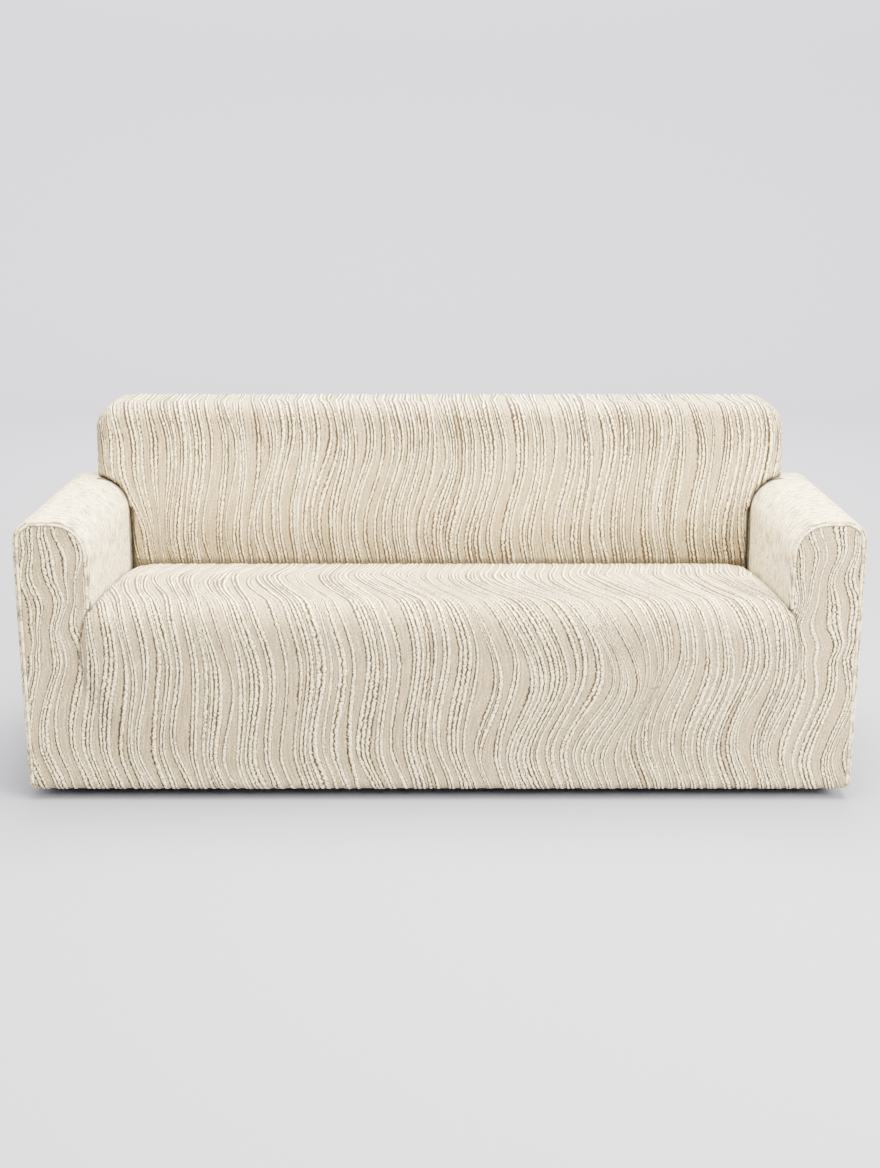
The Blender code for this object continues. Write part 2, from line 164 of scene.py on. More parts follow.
def fill(bottom, top, left, right):
    """Grid of points (rows, columns) inside four edges, which share their corners."""
    v = np.linspace(0.0, 1.0, len(left))[:, None, None]
    u = np.linspace(0.0, 1.0, len(bottom))[None, :, None]
    ruled_up = (1 - v) * bottom[None] + v * top[None]
    ruled_over = (1 - u) * left[:, None] + u * right[:, None]
    low = (1 - u) * bottom[0] + u * bottom[-1]
    high = (1 - u) * top[0] + u * top[-1]
    return ruled_up + ruled_over - ((1 - v) * low + v * high)


def outward(path):
    """Unit directions to the right-hand side of a path."""
    along = np.gradient(path, axis=0)
    along /= np.linalg.norm(along, axis=1)[:, None]
    return np.stack([along[:, 1], -along[:, 0]], axis=1)


# the knit: raised ribs side by side in groups, with a furrow between neighbours, and flat bands
# between the groups. All run along the cloth in slow waves. A band is made of flat cells about
# as wide as a rib.
RIB_WIDTH = (0.0070, 0.0105)
FLAT_WIDTH = (0.0042, 0.0080)
RIBS_IN_GROUP = (1, 1, 1, 2, 2, 3)
FLATS_IN_BAND = (1, 1, 1, 2, 2, 3)
BAND_LIMITS = (0.06, 2.2)
# the tallest rib, how far furrows lie below the plain cloth, and shares of the tallest rib
RIB_HEIGHT = 0.0024
BELOW = 0.0006
RIB_HEIGHTS = (0.70, 1.0)
FLAT_HEIGHT = 0.14
RIB_FULLNESS = 0.65
PULLED_FLATTER = 0.85
# furrows are deepest between two ribs. Beside a band, some lie on the other side of the rib.
FURROW_DEPTHS = (0.80, 1.20)
FURROW_USUAL = 0.95
SHALLOWER_BESIDE_RIB = 0.65
SHALLOWER_BETWEEN_FLATS = 0.85
SWAPPED_FURROWS = 0.22
# how much each changes along the cloth, and about every how many metres
WIDTH_CHANGES = (0.24, 0.09)
BAND_CHANGES = (1.05, 0.16)
HEIGHT_CHANGES = (0.16, 0.04)
FURROW_CHANGES = (0.50, 0.05)
WAVE_STEP = 0.002
NEIGHBOURS = 7


def slow_changes(draw, count, steps, most, spacing):
    """count random waves up to most either way, with a new value about every spacing."""
    knots = draw.uniform(-1.0, 1.0, (count, int(steps * WAVE_STEP / spacing) + 4))
    at = np.arange(steps) * WAVE_STEP / spacing + draw.uniform(0.0, 1.0, (count, 1))
    before = at.astype(int)
    share = smooth(at - before)
    row = np.arange(count)[:, None]
    return most * (knots[row, before] * (1.0 - share) + knots[row, before + 1] * share)


class Knit:
    """Ribs and flat cells across a cloth, from start to end, with their edges at every step
    along its length. sway(across, run) is how far they lean sideways."""

    def __init__(self, seed, start, end, length, sway):
        draw = np.random.default_rng(seed)
        kinds = ((0.0, RIBS_IN_GROUP, RIB_WIDTH), (1.0, FLATS_IN_BAND, FLAT_WIDTH))
        widths, flat, group = [], [], []
        while start + sum(widths) < end:
            for kind, counts, sizes in kinds:
                number = draw.choice(counts)
                widths += list(draw.uniform(*sizes, number))
                flat += [kind] * number
                group += [group[-1] + 1 if group else 0] * number
        widths = np.array(widths)
        self.flat = np.array(flat)
        self.steps = int(length / WAVE_STEP) + 2
        count = len(widths)
        rib_share = 1.0 + slow_changes(draw, count, self.steps, *WIDTH_CHANGES)
        band_share = 1.0 + slow_changes(draw, group[-1] + 1, self.steps, *BAND_CHANGES)[group]
        is_flat = self.flat[:, None]
        share = rib_share * (1.0 - is_flat) + np.clip(band_share, *BAND_LIMITS) * is_flat
        rest = start + np.concatenate([[0.0], np.cumsum(widths)])
        edges = np.cumsum(widths[:, None] * share, axis=0)
        edges = start + np.vstack([np.zeros(self.steps), edges])
        # a wide band pushes its neighbours aside, but not the whole cloth
        drift = np.pad(edges - rest[:, None], ((NEIGHBOURS, NEIGHBOURS), (0, 0)), mode="edge")
        total = np.cumsum(np.vstack([np.zeros(self.steps), drift]), axis=0)
        window = 2 * NEIGHBOURS + 1
        edges -= (total[window:] - total[:-window]) / window
        self.run = np.arange(self.steps) * WAVE_STEP
        edges += sway(rest[:, None], self.run[None, :])
        self.edges = np.maximum.accumulate(edges, axis=0)
        heights = draw.uniform(*RIB_HEIGHTS, count)[:, None]
        self.raised = heights + slow_changes(draw, count, self.steps, *HEIGHT_CHANGES)
        left = np.concatenate([[1.0], self.flat])
        right = np.concatenate([self.flat, [1.0]])
        swapped = draw.uniform(0.0, 1.0, count + 1) < SWAPPED_FURROWS
        beside_rib = 1.0 - SHALLOWER_BESIDE_RIB * np.where(swapped, left, right)
        between_flats = 1.0 - SHALLOWER_BETWEEN_FLATS * left * right
        depth = np.where(left + right == 1.0, beside_rib, between_flats)
        depth *= draw.uniform(*FURROW_DEPTHS, count + 1)
        depths = slow_changes(draw, count + 1, self.steps, *FURROW_CHANGES)
        self.furrow = np.clip(depth[:, None] * (FURROW_USUAL + depths), 0.0, 1.0)

    def darken_furrows(self, places, times):
        """Makes the furrows' dark line, partly painted shade, so many times stronger at places
        along the cloth.
        """
        self.furrow *= np.interp(self.run, places, times)

    def at(self, across, run):
        """Rib count, raised height, rib or band, and furrow depth at places on the cloth."""
        step = np.clip(np.rint(run / WAVE_STEP).astype(int), 0, self.steps - 1)
        ranks = np.arange(len(self.edges), dtype=float)
        count = np.empty(across.shape)
        for row in np.unique(step):
            here = step == row
            count[here] = np.interp(across[here], self.edges[:, row], ranks)
        cell = np.clip(count.astype(int), 0, len(self.flat) - 1)
        inside = count - cell
        rib = 1.0 - self.flat[cell]
        hump = np.sin(np.pi * np.clip(inside, 0.0, 1.0)) ** RIB_FULLNESS
        raised = hump * (FLAT_HEIGHT + (1.0 - FLAT_HEIGHT) * rib * self.raised[cell, step])
        nearest = np.clip(np.rint(count).astype(int), 0, len(self.furrow) - 1)
        return count, raised, rib, self.furrow[nearest, step]


def patch(points, across, run, knit, pulled=0.0, calm=0.0, groove=0.0, crease=0.0):
    """A grid of cloth with its place on the knit. pulled and calm flatten the ribs, 0 to 1,
    groove draws the cloth in, and crease is how much painted shade a place gets where it lies
    deep in a fold, 0 to 1."""
    across, run, pulled, crease = (
        np.broadcast_to(known, points.shape[:2]).astype(float)
        for known in (across, run, pulled, crease)
    )
    count, raised, rib, furrow = knit.at(across, run)
    lift = (raised * RIB_HEIGHT * (1.0 - PULLED_FLATTER * pulled) - BELOW) * (1.0 - calm) - groove
    return {
        "points": points,
        "knit": np.stack([count, run, across], axis=-1),
        "look": np.stack([rib, furrow, pulled], axis=-1),
        "lift": lift,
        "crease": crease,
    }


def flipped(grid):
    """The same grid facing the other way."""
    return {key: value[::-1] for key, value in grid.items()}


def mirrored(points):
    """A grid of points as it lies on the other side of the sofa."""
    return (points * (-1.0, 1.0, 1.0))[:, ::-1]


def weld(grids):
    """One sheet from grids that meet at shared points: arrays for its vertices, and its faces."""
    joined = {}
    for key in ("points", "knit", "look", "lift", "crease"):
        width = grids[0][key].shape[2:]
        joined[key] = np.concatenate([grid[key].reshape((-1,) + width) for grid in grids])
    faces = []
    first = 0
    for grid in grids:
        rows, columns = grid["points"].shape[:2]
        index = first + np.arange(rows * columns).reshape(rows, columns)
        cells = [index[:-1, :-1], index[:-1, 1:], index[1:, 1:], index[1:, :-1]]
        faces.append(np.stack(cells, axis=-1).reshape(-1, 4))
        first += rows * columns
    _, kept, places = np.unique(
        np.round(joined["points"], 5), axis=0, return_index=True, return_inverse=True
    )
    faces = places.reshape(-1)[np.concatenate(faces)]
    sheet = {key: value[kept] for key, value in joined.items()}
    return sheet, faces


def normals_of(points, faces):
    across = points[faces[:, 2]] - points[faces[:, 0]]
    along = points[faces[:, 3]] - points[faces[:, 1]]
    face_normals = np.cross(across, along)
    total = np.zeros(points.shape)
    for corner in range(4):
        np.add.at(total, faces[:, corner], face_normals)
    return total / np.maximum(np.linalg.norm(total, axis=1), 1e-12)[:, None]


def rim(faces):
    """The open edge of a sheet as one loop of vertices, in the order its faces give."""
    start, end = faces.ravel(), np.roll(faces, -1, axis=1).ravel()
    real = start != end
    start, end = start[real].astype(np.int64), end[real].astype(np.int64)
    size = faces.max() + 1
    open_edge = ~np.isin(start * size + end, end * size + start)
    follows = dict(zip(start[open_edge].tolist(), end[open_edge].tolist()))
    first = min(follows)
    loop = [first]
    while follows[loop[-1]] != first:
        loop.append(follows[loop[-1]])
    return np.array(loop)


def close_edge(outer, outer_loop, inner, inner_loop):
    """Triangles that join a finely divided open edge to the same edge of the coarser inner side."""
    nearest = np.argmin(np.linalg.norm(inner[inner_loop] - outer[outer_loop[0]], axis=1))
    inner_loop = np.roll(inner_loop, -nearest)
    reach_out = lengths_along(outer[np.append(outer_loop, outer_loop[0])])
    reach_in = lengths_along(inner[np.append(inner_loop, inner_loop[0])])
    reach_out /= reach_out[-1]
    reach_in /= reach_in[-1]
    triangles = []
    i = j = 0
    while i < len(outer_loop) or j < len(inner_loop):
        here = outer_loop[i % len(outer_loop)]
        there = inner_loop[j % len(inner_loop)] + len(outer)
        if j == len(inner_loop) or (i < len(outer_loop) and reach_out[i + 1] <= reach_in[j + 1]):
            i += 1
            triangles.append((outer_loop[i % len(outer_loop)], here, there))
        else:
            j += 1
            triangles.append((here, there, inner_loop[j % len(inner_loop)] + len(outer)))
    return triangles


def add_piece(name, points, faces, knit, look, crease):
    """A piece, with what the finish has to know at each of its points."""
    mesh = bpy.data.meshes.new(name)
    mesh.from_pydata(points, [], faces)
    # crease: how much painted shade the finish puts on each point
    for key, kind, field, values in (
        ("knit", "FLOAT_VECTOR", "vector", knit),
        ("look", "FLOAT_VECTOR", "vector", look),
        ("crease", "FLOAT", "value", crease),
    ):
        held = mesh.attributes.new(key, kind, "POINT")
        held.data.foreach_set(field, values.astype(np.float32).ravel())
    mesh.shade_smooth()
    piece = bpy.data.objects.new(name, mesh)
    bpy.context.scene.collection.objects.link(piece)
    return piece


def make_cloth(name, outer_grids, inner_grids):
    """A closed thin piece of cloth: knitted relief outside, a plainer and coarser side inside."""
    outer, outer_faces = weld(outer_grids)
    inner, inner_faces = weld(inner_grids)
    edge = close_edge(outer["points"], rim(outer_faces), inner["points"], rim(inner_faces))
    raised = outer["points"] + normals_of(outer["points"], outer_faces) * outer["lift"][:, None]
    within = inner["points"] - normals_of(inner["points"], inner_faces) * CLOTH
    faces = outer_faces.tolist() + (inner_faces[:, ::-1] + len(raised)).tolist() + edge
    faces = [tuple(dict.fromkeys(face)) for face in faces]
    faces = [face for face in faces if len(face) > 2]
    known = [np.concatenate([outer[key], inner[key]]) for key in ("knit", "look", "crease")]
    return add_piece(name, np.concatenate([raised, within]), faces, *known)


# the cloth's finish: its colours, and the lengths over which yarn, tufts and streaks change
RIB_COLOUR = (0.960, 0.860, 0.570)
BAND_COLOUR = (0.310, 0.246, 0.142)
FURROW_LINE_AND_SHADE = (0.050, 0.033, 0.016)
PULLED_COLOUR = (0.800, 0.712, 0.462)
STREAK_COLOUR = (0.140, 0.108, 0.060)
# painted shade for creases, folds and the foot of the back
PAINTED_CREASE_SHADE = (0.040, 0.026, 0.014)
STITCH_LENGTH = 0.0060
TUFT_LENGTH = 0.0048
FUZZ_WIDTH = 0.0034
FUZZ_LENGTH = 0.0040
CLOUD_WIDTH = 0.11
CLOUD_LENGTH = 0.17
YARN_LENGTH = 0.05
STREAK_LENGTH = 0.034
SPECK_LENGTH = 0.0085
COURSE_PITCH = 0.0023
WALE_PITCH = 0.0027
BUMP_DEPTH = 0.0011


def add_node(tree, kind, settings, inputs):
    """One node: its settings first, then the values or links of its sockets."""
    node = tree.nodes.new(kind)
    for key, value in settings.items():
        setattr(node, key, value)
    for key, value in inputs.items():
        if isinstance(value, Wire):
            tree.links.new(value.socket, node.inputs[key])
        else:
            node.inputs[key].default_value = value
    return node


class Wire:
    """A socket in a material. Sums on it are written as Python sums, and add its Math nodes."""

    def __init__(self, tree, socket):
        self.tree = tree
        self.socket = socket

    def maths(self, operation, *others, clamped=False):
        inputs = dict(enumerate((self,) + others))
        settings = {"operation": operation, "use_clamp": clamped}
        return Wire(self.tree, add_node(self.tree, "ShaderNodeMath", settings, inputs).outputs[0])

    def __add__(self, other):
        return self.maths("ADD", other)

    def __sub__(self, other):
        return self.maths("SUBTRACT", other)

    def __rsub__(self, other):
        return (self * -1.0).maths("ADD", other)

    def __mul__(self, other):
        return self.maths("MULTIPLY", other)

    def __truediv__(self, other):
        return self.maths("DIVIDE", other)

    def __abs__(self):
        return self.maths("ABSOLUTE")

    __radd__ = __add__
    __rmul__ = __mul__

    def limited(self):
        return self.maths("ADD", 0.0, clamped=True)

    def between(self, low, high):
        """0 at low and below, 1 at high and above, smooth in the middle."""
        inputs = {"Value": self, "From Min": low, "From Max": high}
        settings = {"interpolation_type": "SMOOTHSTEP"}
        node = add_node(self.tree, "ShaderNodeMapRange", settings, inputs)
        return Wire(self.tree, node.outputs[0])

    def blend(self, low, high):
        """A colour between two, by this value."""
        inputs = {0: self, 6: low, 7: high}
        node = add_node(self.tree, "ShaderNodeMix", {"data_type": "RGBA"}, inputs)
        return Wire(self.tree, node.outputs[2])


def mesh_value(tree, key, output="Fac"):
    """A number that the mesh holds at each of its points."""
    node = add_node(tree, "ShaderNodeAttribute", {"attribute_name": key}, {})
    return Wire(tree, node.outputs[output])


def three_mesh_values(tree, key):
    node = add_node(tree, "ShaderNodeSeparateXYZ", {}, {0: mesh_value(tree, key, "Vector")})
    return [Wire(tree, node.outputs[k]) for k in range(3)]


def speckle(tree, x, y, detail=0.0):
    """Random noise, 0 to 1, over two numbers whose unit is one speckle."""
    place = add_node(tree, "ShaderNodeCombineXYZ", {}, {0: x, 1: y})
    inputs = {"Vector": Wire(tree, place.outputs[0]), "Scale": 1.0, "Detail": detail}
    node = add_node(tree, "ShaderNodeTexNoise", {"noise_dimensions": "2D"}, inputs)
    return Wire(tree, node.outputs[0])


def colour(rgb):
    return (*rgb, 1.0)


def knit_finish(name):
    """Ribbed stretch knit: fuzzy cream ribs, broken brown furrows, flat taupe bands."""
    finish = bpy.data.materials.new(name)
    finish.use_nodes = True
    tree = finish.node_tree
    shader = tree.nodes["Principled BSDF"]
    count, run, across = three_mesh_values(tree, "knit")
    rib, furrow, pulled = three_mesh_values(tree, "look")
    crease = mesh_value(tree, "crease")

    # a furrow is a ragged dark line between two ribs, broken where stitches bridge it. Its dark is
    # partly the knit's own and partly painted shade in the groove
    nearest = count.maths("ROUND")
    ragged = speckle(tree, nearest * 5.13, run / STITCH_LENGTH, 1.0) - 0.5
    beside = count - nearest + 0.60 * ragged
    line = 1.0 - abs(beside + 0.04).between(0.08, 0.22 + 0.10 * furrow)
    stitches = speckle(tree, nearest * 7.31, run / STITCH_LENGTH).between(0.38, 0.56)
    open_line = (line * furrow * (0.60 + 1.20 * stitches)).limited()

    # tufts stand on the ribs, and fine stitches show on the bands
    tufts = speckle(tree, count * 1.7, run / TUFT_LENGTH, 1.0).between(0.38, 0.60)
    fuzz = speckle(tree, across / FUZZ_WIDTH, run / FUZZ_LENGTH, 1.0)
    cloudy = speckle(tree, across / CLOUD_WIDTH, run / CLOUD_LENGTH, 2.0)
    fine_lines = speckle(tree, count * 2.9, run / YARN_LENGTH)
    courses = (run * (2.0 * np.pi / COURSE_PITCH)).maths("SINE")
    wales = (across * (2.0 * np.pi / WALE_PITCH)).maths("SINE")
    stitched = courses * wales
    crown = rib.between(0.25, 0.75) * abs(beside).between(0.10, 0.28)
    fringe = crown * (0.16 + 1.00 * tufts)
    light = 0.05 + 1.12 * fringe + 1.30 * (fuzz - 0.5) + 0.60 * (fine_lines - 0.5)
    light = light + 0.08 * stitched * (1.0 - rib) + 0.20 * (cloudy - 0.5)
    base = light.limited().blend(colour(BAND_COLOUR), colour(RIB_COLOUR))
    base = open_line.blend(base, colour(FURROW_LINE_AND_SHADE))

    # pulled smooth, the cloth shows only streaks and specks
    streaks = speckle(tree, count * 1.9, run / STREAK_LENGTH, 1.0).between(0.37, 0.55)
    specks = speckle(tree, count * 1.7, run / SPECK_LENGTH).between(0.64, 0.72)
    smoothed = (0.05 + 1.05 * streaks - 0.70 * specks + 1.6 * (fuzz - 0.5)).limited()
    smoothed = smoothed.blend(colour(STREAK_COLOUR), colour(PULLED_COLOUR))
    base = (pulled * 0.92).blend(base, smoothed)
    # painted shade in creases and folds, as much as the mesh's crease value says
    base = crease.blend(base, colour(PAINTED_CREASE_SHADE))

    height = crown * (0.3 + 0.9 * tufts) + 0.35 * (fuzz - 0.5) + 0.07 * stitched
    height = (height - open_line * 1.4) * (1.0 - 0.75 * pulled)
    height = height + pulled * (0.5 * (streaks - 0.5) - 0.4 * specks)
    inputs = {"Strength": 0.9, "Distance": BUMP_DEPTH, "Height": height}
    bump = add_node(tree, "ShaderNodeBump", {}, inputs)
    tree.links.new(base.socket, shader.inputs["Base Color"])
    tree.links.new(bump.outputs[0], shader.inputs["Normal"])
    shader.inputs["Roughness"].default_value = 0.94
    shader.inputs["Specular IOR Level"].default_value = 0.18
    shader.inputs["Sheen Weight"].default_value = 0.12
    shader.inputs["Sheen Roughness"].default_value = 0.6
    return finish


# the shape: seat and its front in one block, the apron below it, and the two arm fronts

def arm_section():
    """Section of an arm (x, z): hem, outer side, top, inner side, tucked edge."""
    rows = (
        (HALF_HEM - HEM_ROLL - HEM_LIP, 0.0, 0.0),
        (HALF_HEM, 0.0, HEM_ROLL),
        (HALF_HEM + 0.001, 0.200, 0.0),
        (HALF_HEM + 0.002, 0.400, 0.0),
        (HALF_FULL, FULL_Z, 0.0),
        (ARM_OUT, ARM_TOP, OUTER_SHOULDER),
        (ARM_IN, ARM_TOP, INNER_SHOULDER),
        (ARM_IN, CREASE[3][2] + 0.002, 0.0),
        (ARM_IN, CREASE[0][2] - TUCK, 0.0),
    )
    return rounded_path(rows, ARC)


SECTION = arm_section()
HEM_TOP_POINT = ARC + 1
CREASE_POINT = len(SECTION) - 2


def section_inset(section, front, rear=0.0):
    """An arm's section shrunk towards its middle, with the hem kept down on its level."""
    away = outward(section)
    away[section[:, 1] < DART_Z] = (1.0, 0.0)
    rear_away = away.copy()
    beside_back = (section[:, 0] < ARM_OUT - OUTER_SHOULDER + 0.001) & (section[:, 1] > FULL_Z)
    rear_away[beside_back] = (0.0, 1.0)
    return section - away * front - rear_away * rear


def arm_outline():
    """Edge of the arm front beside the welt: up the outer side, over the top, down the inner."""
    inset = section_inset(SECTION, PANEL_INSET)[HEM_TOP_POINT - 1: CREASE_POINT + 1]
    outline = spread(inset, OUTLINE_POINTS)
    run = np.gradient(outline, axis=0)
    # it heads up at 90 degrees, over the top at 180 and down at 270: its corners lie between
    heading = np.degrees(np.unwrap(np.arctan2(run[:, 1], run[:, 0])))
    return outline, int(np.argmax(heading > 135.0)), int(np.argmax(heading > 225.0))


def seat_block(middle_columns, edge_columns, top_rows, front_rows):
    """Seat and seat front down to the darts, in rows from the rear edge forward, and its run."""
    crease = np.array(CREASE)
    top = spread(crease[:CREASE_TOP_POINTS], top_rows)
    front = spread(crease[CREASE_TOP_POINTS - 1:], front_rows)
    edges = np.concatenate([top, front[1:]])
    section = rounded_path(SEAT_SECTION, ARC)
    turn = ARC + 2
    middle_top = spread(section[: turn + 1], top_rows)
    middle_front = spread(section[turn:], front_rows)
    middles = np.concatenate([middle_top, middle_front[1:]])
    rounds = np.interp(np.arange(len(edges)), (0, top_rows), (SEAT_ROUND_REAR, SEAT_ROUND))
    bend = quarter_turn(edge_columns)[1:]
    rows = []
    for edge, middle, width in zip(edges, middles, rounds):
        flat = np.linspace(width - edge[0], edge[0] - width, middle_columns + 1)
        side = edge[0] - width * (1.0 - np.sin(bend))
        x = np.concatenate([-side[::-1], flat, side])
        drop = 1.0 - np.cos(np.concatenate([bend[::-1], np.zeros(len(flat)), bend]))
        y = middle[0] + (edge[1] - middle[0]) * drop
        z = middle[1] + (edge[2] - middle[1]) * drop
        rows.append(np.stack([x, y, z], axis=1))
    return np.array(rows), lengths_along(middles)


def front_proud(share, z):
    """How far the apron stands forward of the arm fronts at a share of the seat's half width."""
    height = APRON_PROUD * smooth(z / DART_Z)
    faded = smooth((DART_Z - z) / APRON_FADE)
    width = SEAT_ROUND / DART_X + APRON_WIDEN * smooth(1.0 - z / DART_Z)
    reach = (np.abs(share) - 1.0 + width) / width
    return height * (1.0 - (1.0 - faded) * quarter(reach) - faded * smooth(reach))


def arm_front(valley, columns, upper_rows):
    """Right arm front above the dart, between the seat's side and the welt."""
    outline, outer_corner, inner_corner = arm_outline()
    outer_side = outline[: outer_corner + 1]
    start = (np.interp(DART_Z, outer_side[:, 1], outer_side[:, 0]), DART_Z)
    rows = len(valley) + upper_rows
    right = spread(np.vstack([start, outer_side[outer_side[:, 1] > DART_Z]]), rows)
    top = spread(outline[outer_corner: inner_corner + 1], columns)[::-1]
    left = np.concatenate([valley, spread(outline[inner_corner:][::-1], upper_rows)])
    bottom = np.linspace(left[0], right[0], columns + 1)
    flat = fill(bottom, top, left, right)
    return np.stack([flat[..., 0], np.full(flat.shape[:2], FACE_Y), flat[..., 1]], axis=-1)


def hem_rows(top_z, count, turns):
    """Heights from top_z down to the hem's roll, then round it and along its lip."""
    rows = [(z, 0.0) for z in np.linspace(top_z, HEM_ROLL, count + 1)]
    for a in quarter_turn(turns)[1:]:
        rows.append((HEM_ROLL * (1.0 - np.sin(a)), HEM_ROLL * (1.0 - np.cos(a))))
    return rows + [(0.0, HEM_ROLL + HEM_LIP)]


def apron(seat_places, arm_places, count, turns):
    """Lower front from arm to arm: down from the darts, then rolled under at the hem."""
    across = np.concatenate([-arm_places[::-1], seat_places[1:-1], arm_places])
    outline, outer_corner, _ = arm_outline()
    beyond = np.clip((np.abs(across) - DART_X) / (across[-1] - DART_X), 0.0, 1.0)
    rows = []
    for z, turned in hem_rows(DART_Z, count, turns):
        half = np.interp(max(z, HEM_ROLL), outline[:outer_corner, 1], outline[:outer_corner, 0])
        x = across + np.sign(across) * beyond * (half - across[-1] - turned)
        y = FACE_Y - front_proud(across / DART_X, max(z, HEM_ROLL)) + turned
        rows.append(np.stack([x, y, np.full(len(x), z)], axis=1))
    return np.array(rows)


def measured_across(grid):
    """Distance of each point from the middle column, along its own row of cloth."""
    steps = np.linalg.norm(np.diff(grid, axis=1), axis=2)
    run = np.concatenate([np.zeros((len(grid), 1)), np.cumsum(steps, axis=1)], axis=1)
    return run - run[:, grid.shape[1] // 2][:, None]


SEAT_RUN = seat_block(4, 4, 40, 20)[1][-1]
# the cloth is drawn in along the valley beside each arm front, and a little below the dart.
# The deeper a groove, in metres, the more painted shade it gets.
VALLEY_DEPTH = 0.0045
VALLEY_WIDTH = 0.009
VALLEY_SHADE = 110.0
DART_END = 0.045
DART_SHADE = 90.0
# how far the ribs lean sideways over the front roll, swing back above the hem and end
LEAN_PLACES = (-0.95, -0.58, -0.10, 0.20, 0.45, 0.80)
LEAN_OVER_ROLL = (0.090, 0.100, 0.154, 0.215, 0.130, 0.105)
SWING_BACK = (0.030, 0.020, 0.024, 0.085, 0.050, 0.056)


def front_sway(across, run):
    lean = np.interp(across, LEAN_PLACES, LEAN_OVER_ROLL)
    back = np.interp(across, LEAN_PLACES, SWING_BACK)
    late = 0.03 * np.sin(across * 9.0) + 0.02 * np.sin(across * 23.0 + 1.0)
    sway = lean * smooth((run - 0.21 - late) / 0.43) - 0.024 * smooth(run / 0.20)
    sway -= back * smooth((run - 0.64 - late) / 0.20)
    return sway + 0.032 * smooth((run - 0.84 - 0.5 * late) / 0.13)


def arm_front_sway(across, run):
    above = smooth((SEAT_RUN - run) / 0.06)
    waves = 0.009 * np.sin(run * 24.0 + across * 30.0) + 0.004 * np.sin(run * 55.0)
    return front_sway(across, np.maximum(run, SEAT_RUN)) + above * waves


# one seed for both, because the arm fronts' ribs run on into the apron's
FRONT_KNIT = Knit(seed=41, start=-1.10, end=1.10, length=1.05, sway=front_sway)
ARM_FRONT_KNIT = Knit(seed=41, start=-1.10, end=1.10, length=1.05, sway=arm_front_sway)
# over the stretched seat the furrows are drawn darker and wider, as painted shade in their grooves
FRONT_KNIT.darken_furrows((0.10, 0.30, SEAT_RUN - 0.22, SEAT_RUN - 0.10), (0.6, 2.6, 2.8, 1.05))


def front_seat(
    middle_columns, edge_columns, top_rows, front_rows, apron_rows, turns, arm_columns, upper_rows
):
    """The piece as seven grids: seat, apron, two arm fronts, two side tucks and the rear tuck."""
    seat, run = seat_block(middle_columns, edge_columns, top_rows, front_rows)
    valley = seat[top_rows + 1:, -1][::-1, ::2]
    arm = arm_front(valley, arm_columns, upper_rows)
    lower = apron(seat[-1, :, 0], arm[0, :, 0], apron_rows, turns)
    lower_across = measured_across(lower)
    lower_run = SEAT_RUN + lengths_along(lower[:, lower.shape[1] // 2])
    arm_across = np.interp(arm[..., 0], lower[0, :, 0], lower_across[0])
    arm_run = SEAT_RUN + DART_Z - arm[..., 2]
    seat_across = measured_across(seat)
    run = run * SEAT_RUN / run[-1]

    down = np.array([0.0, 0.0, TUCK])
    side = seat[: top_rows + 1, -1:]
    side_tuck = np.concatenate([side, side - down], axis=1)
    rear_tuck = np.stack([seat[0], seat[0] - down])
    tuck_across = seat_across[: top_rows + 1, -1:] + np.array([[0.0, TUCK]])
    tuck_run = run[: top_rows + 1, None]

    near_side = np.abs(seat_across) / np.abs(seat_across[:, -1:])
    calm = smooth((near_side - 0.985) / 0.015)
    # painted shade in the crease where the seat meets each arm
    seat_painted_shade = 0.75 * smooth((near_side - 0.988) / 0.012)
    on_front = (np.arange(len(seat)) > top_rows)[:, None]
    seat_groove = VALLEY_DEPTH * on_front * smooth((near_side - 0.990) / 0.010)
    from_seat = (arm[..., 0] - arm[:, :1, 0]) / VALLEY_WIDTH
    arm_groove = VALLEY_DEPTH * (arm[..., 2] < CREASE[3][2]) * smooth(1.0 - from_seat)
    # painted shade in the valley beside each arm front, and below each dart
    arm_painted_shade = VALLEY_SHADE * arm_groove
    below_dart = smooth(1.0 - np.abs(np.abs(lower[..., 0]) - DART_X) / VALLEY_WIDTH)
    dart_groove = VALLEY_DEPTH * below_dart * smooth((lower[..., 2] - DART_Z + DART_END) / DART_END)

    return [
        flipped(
            patch(seat, seat_across, run[:, None], FRONT_KNIT, 0.0, calm, seat_groove, seat_painted_shade)
        ),
        flipped(
            patch(
                lower, lower_across, lower_run[:, None], FRONT_KNIT,
                groove=dart_groove, crease=DART_SHADE * dart_groove,
            )
        ),
        patch(arm, arm_across, arm_run, ARM_FRONT_KNIT, groove=arm_groove, crease=arm_painted_shade),
        patch(
            mirrored(arm), -arm_across[:, ::-1], arm_run[:, ::-1], ARM_FRONT_KNIT,
            groove=arm_groove[:, ::-1], crease=arm_painted_shade[:, ::-1],
        ),
        flipped(patch(side_tuck, tuck_across, tuck_run, FRONT_KNIT, calm=1.0)),
        flipped(
            patch(mirrored(side_tuck), -tuck_across[:, ::-1], tuck_run, FRONT_KNIT, calm=1.0)
        ),
        patch(rear_tuck, seat_across[:1], np.zeros((2, 1)), FRONT_KNIT, calm=1.0),
    ]


knit_cloth = knit_finish("ribbed_knit")
# the ribs need a fine grid outside, and the plain inner side a coarse one
front_piece = make_cloth(
    "front_seat_cloth",
    front_seat(
        middle_columns=700, edge_columns=20, top_rows=50, front_rows=18,
        apron_rows=32, turns=6, arm_columns=66, upper_rows=22,
    ),
    front_seat(
        middle_columns=64, edge_columns=5, top_rows=14, front_rows=8,
        apron_rows=8, turns=3, arm_columns=7, upper_rows=6,
    ),
)
front_piece.data.materials.append(knit_cloth)
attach(front_piece, "root")
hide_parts("front_seat")


# ==== Arm bands =================================================================================
# A strip of the same knit round each arm, sewn to the arm front and to the rear panel. It rises
# from a rolled hem, is pulled smooth over the arm's top and goes down inside, where its edge is
# tucked beside the seat. Behind, it is cut away where the back stands on the arm.

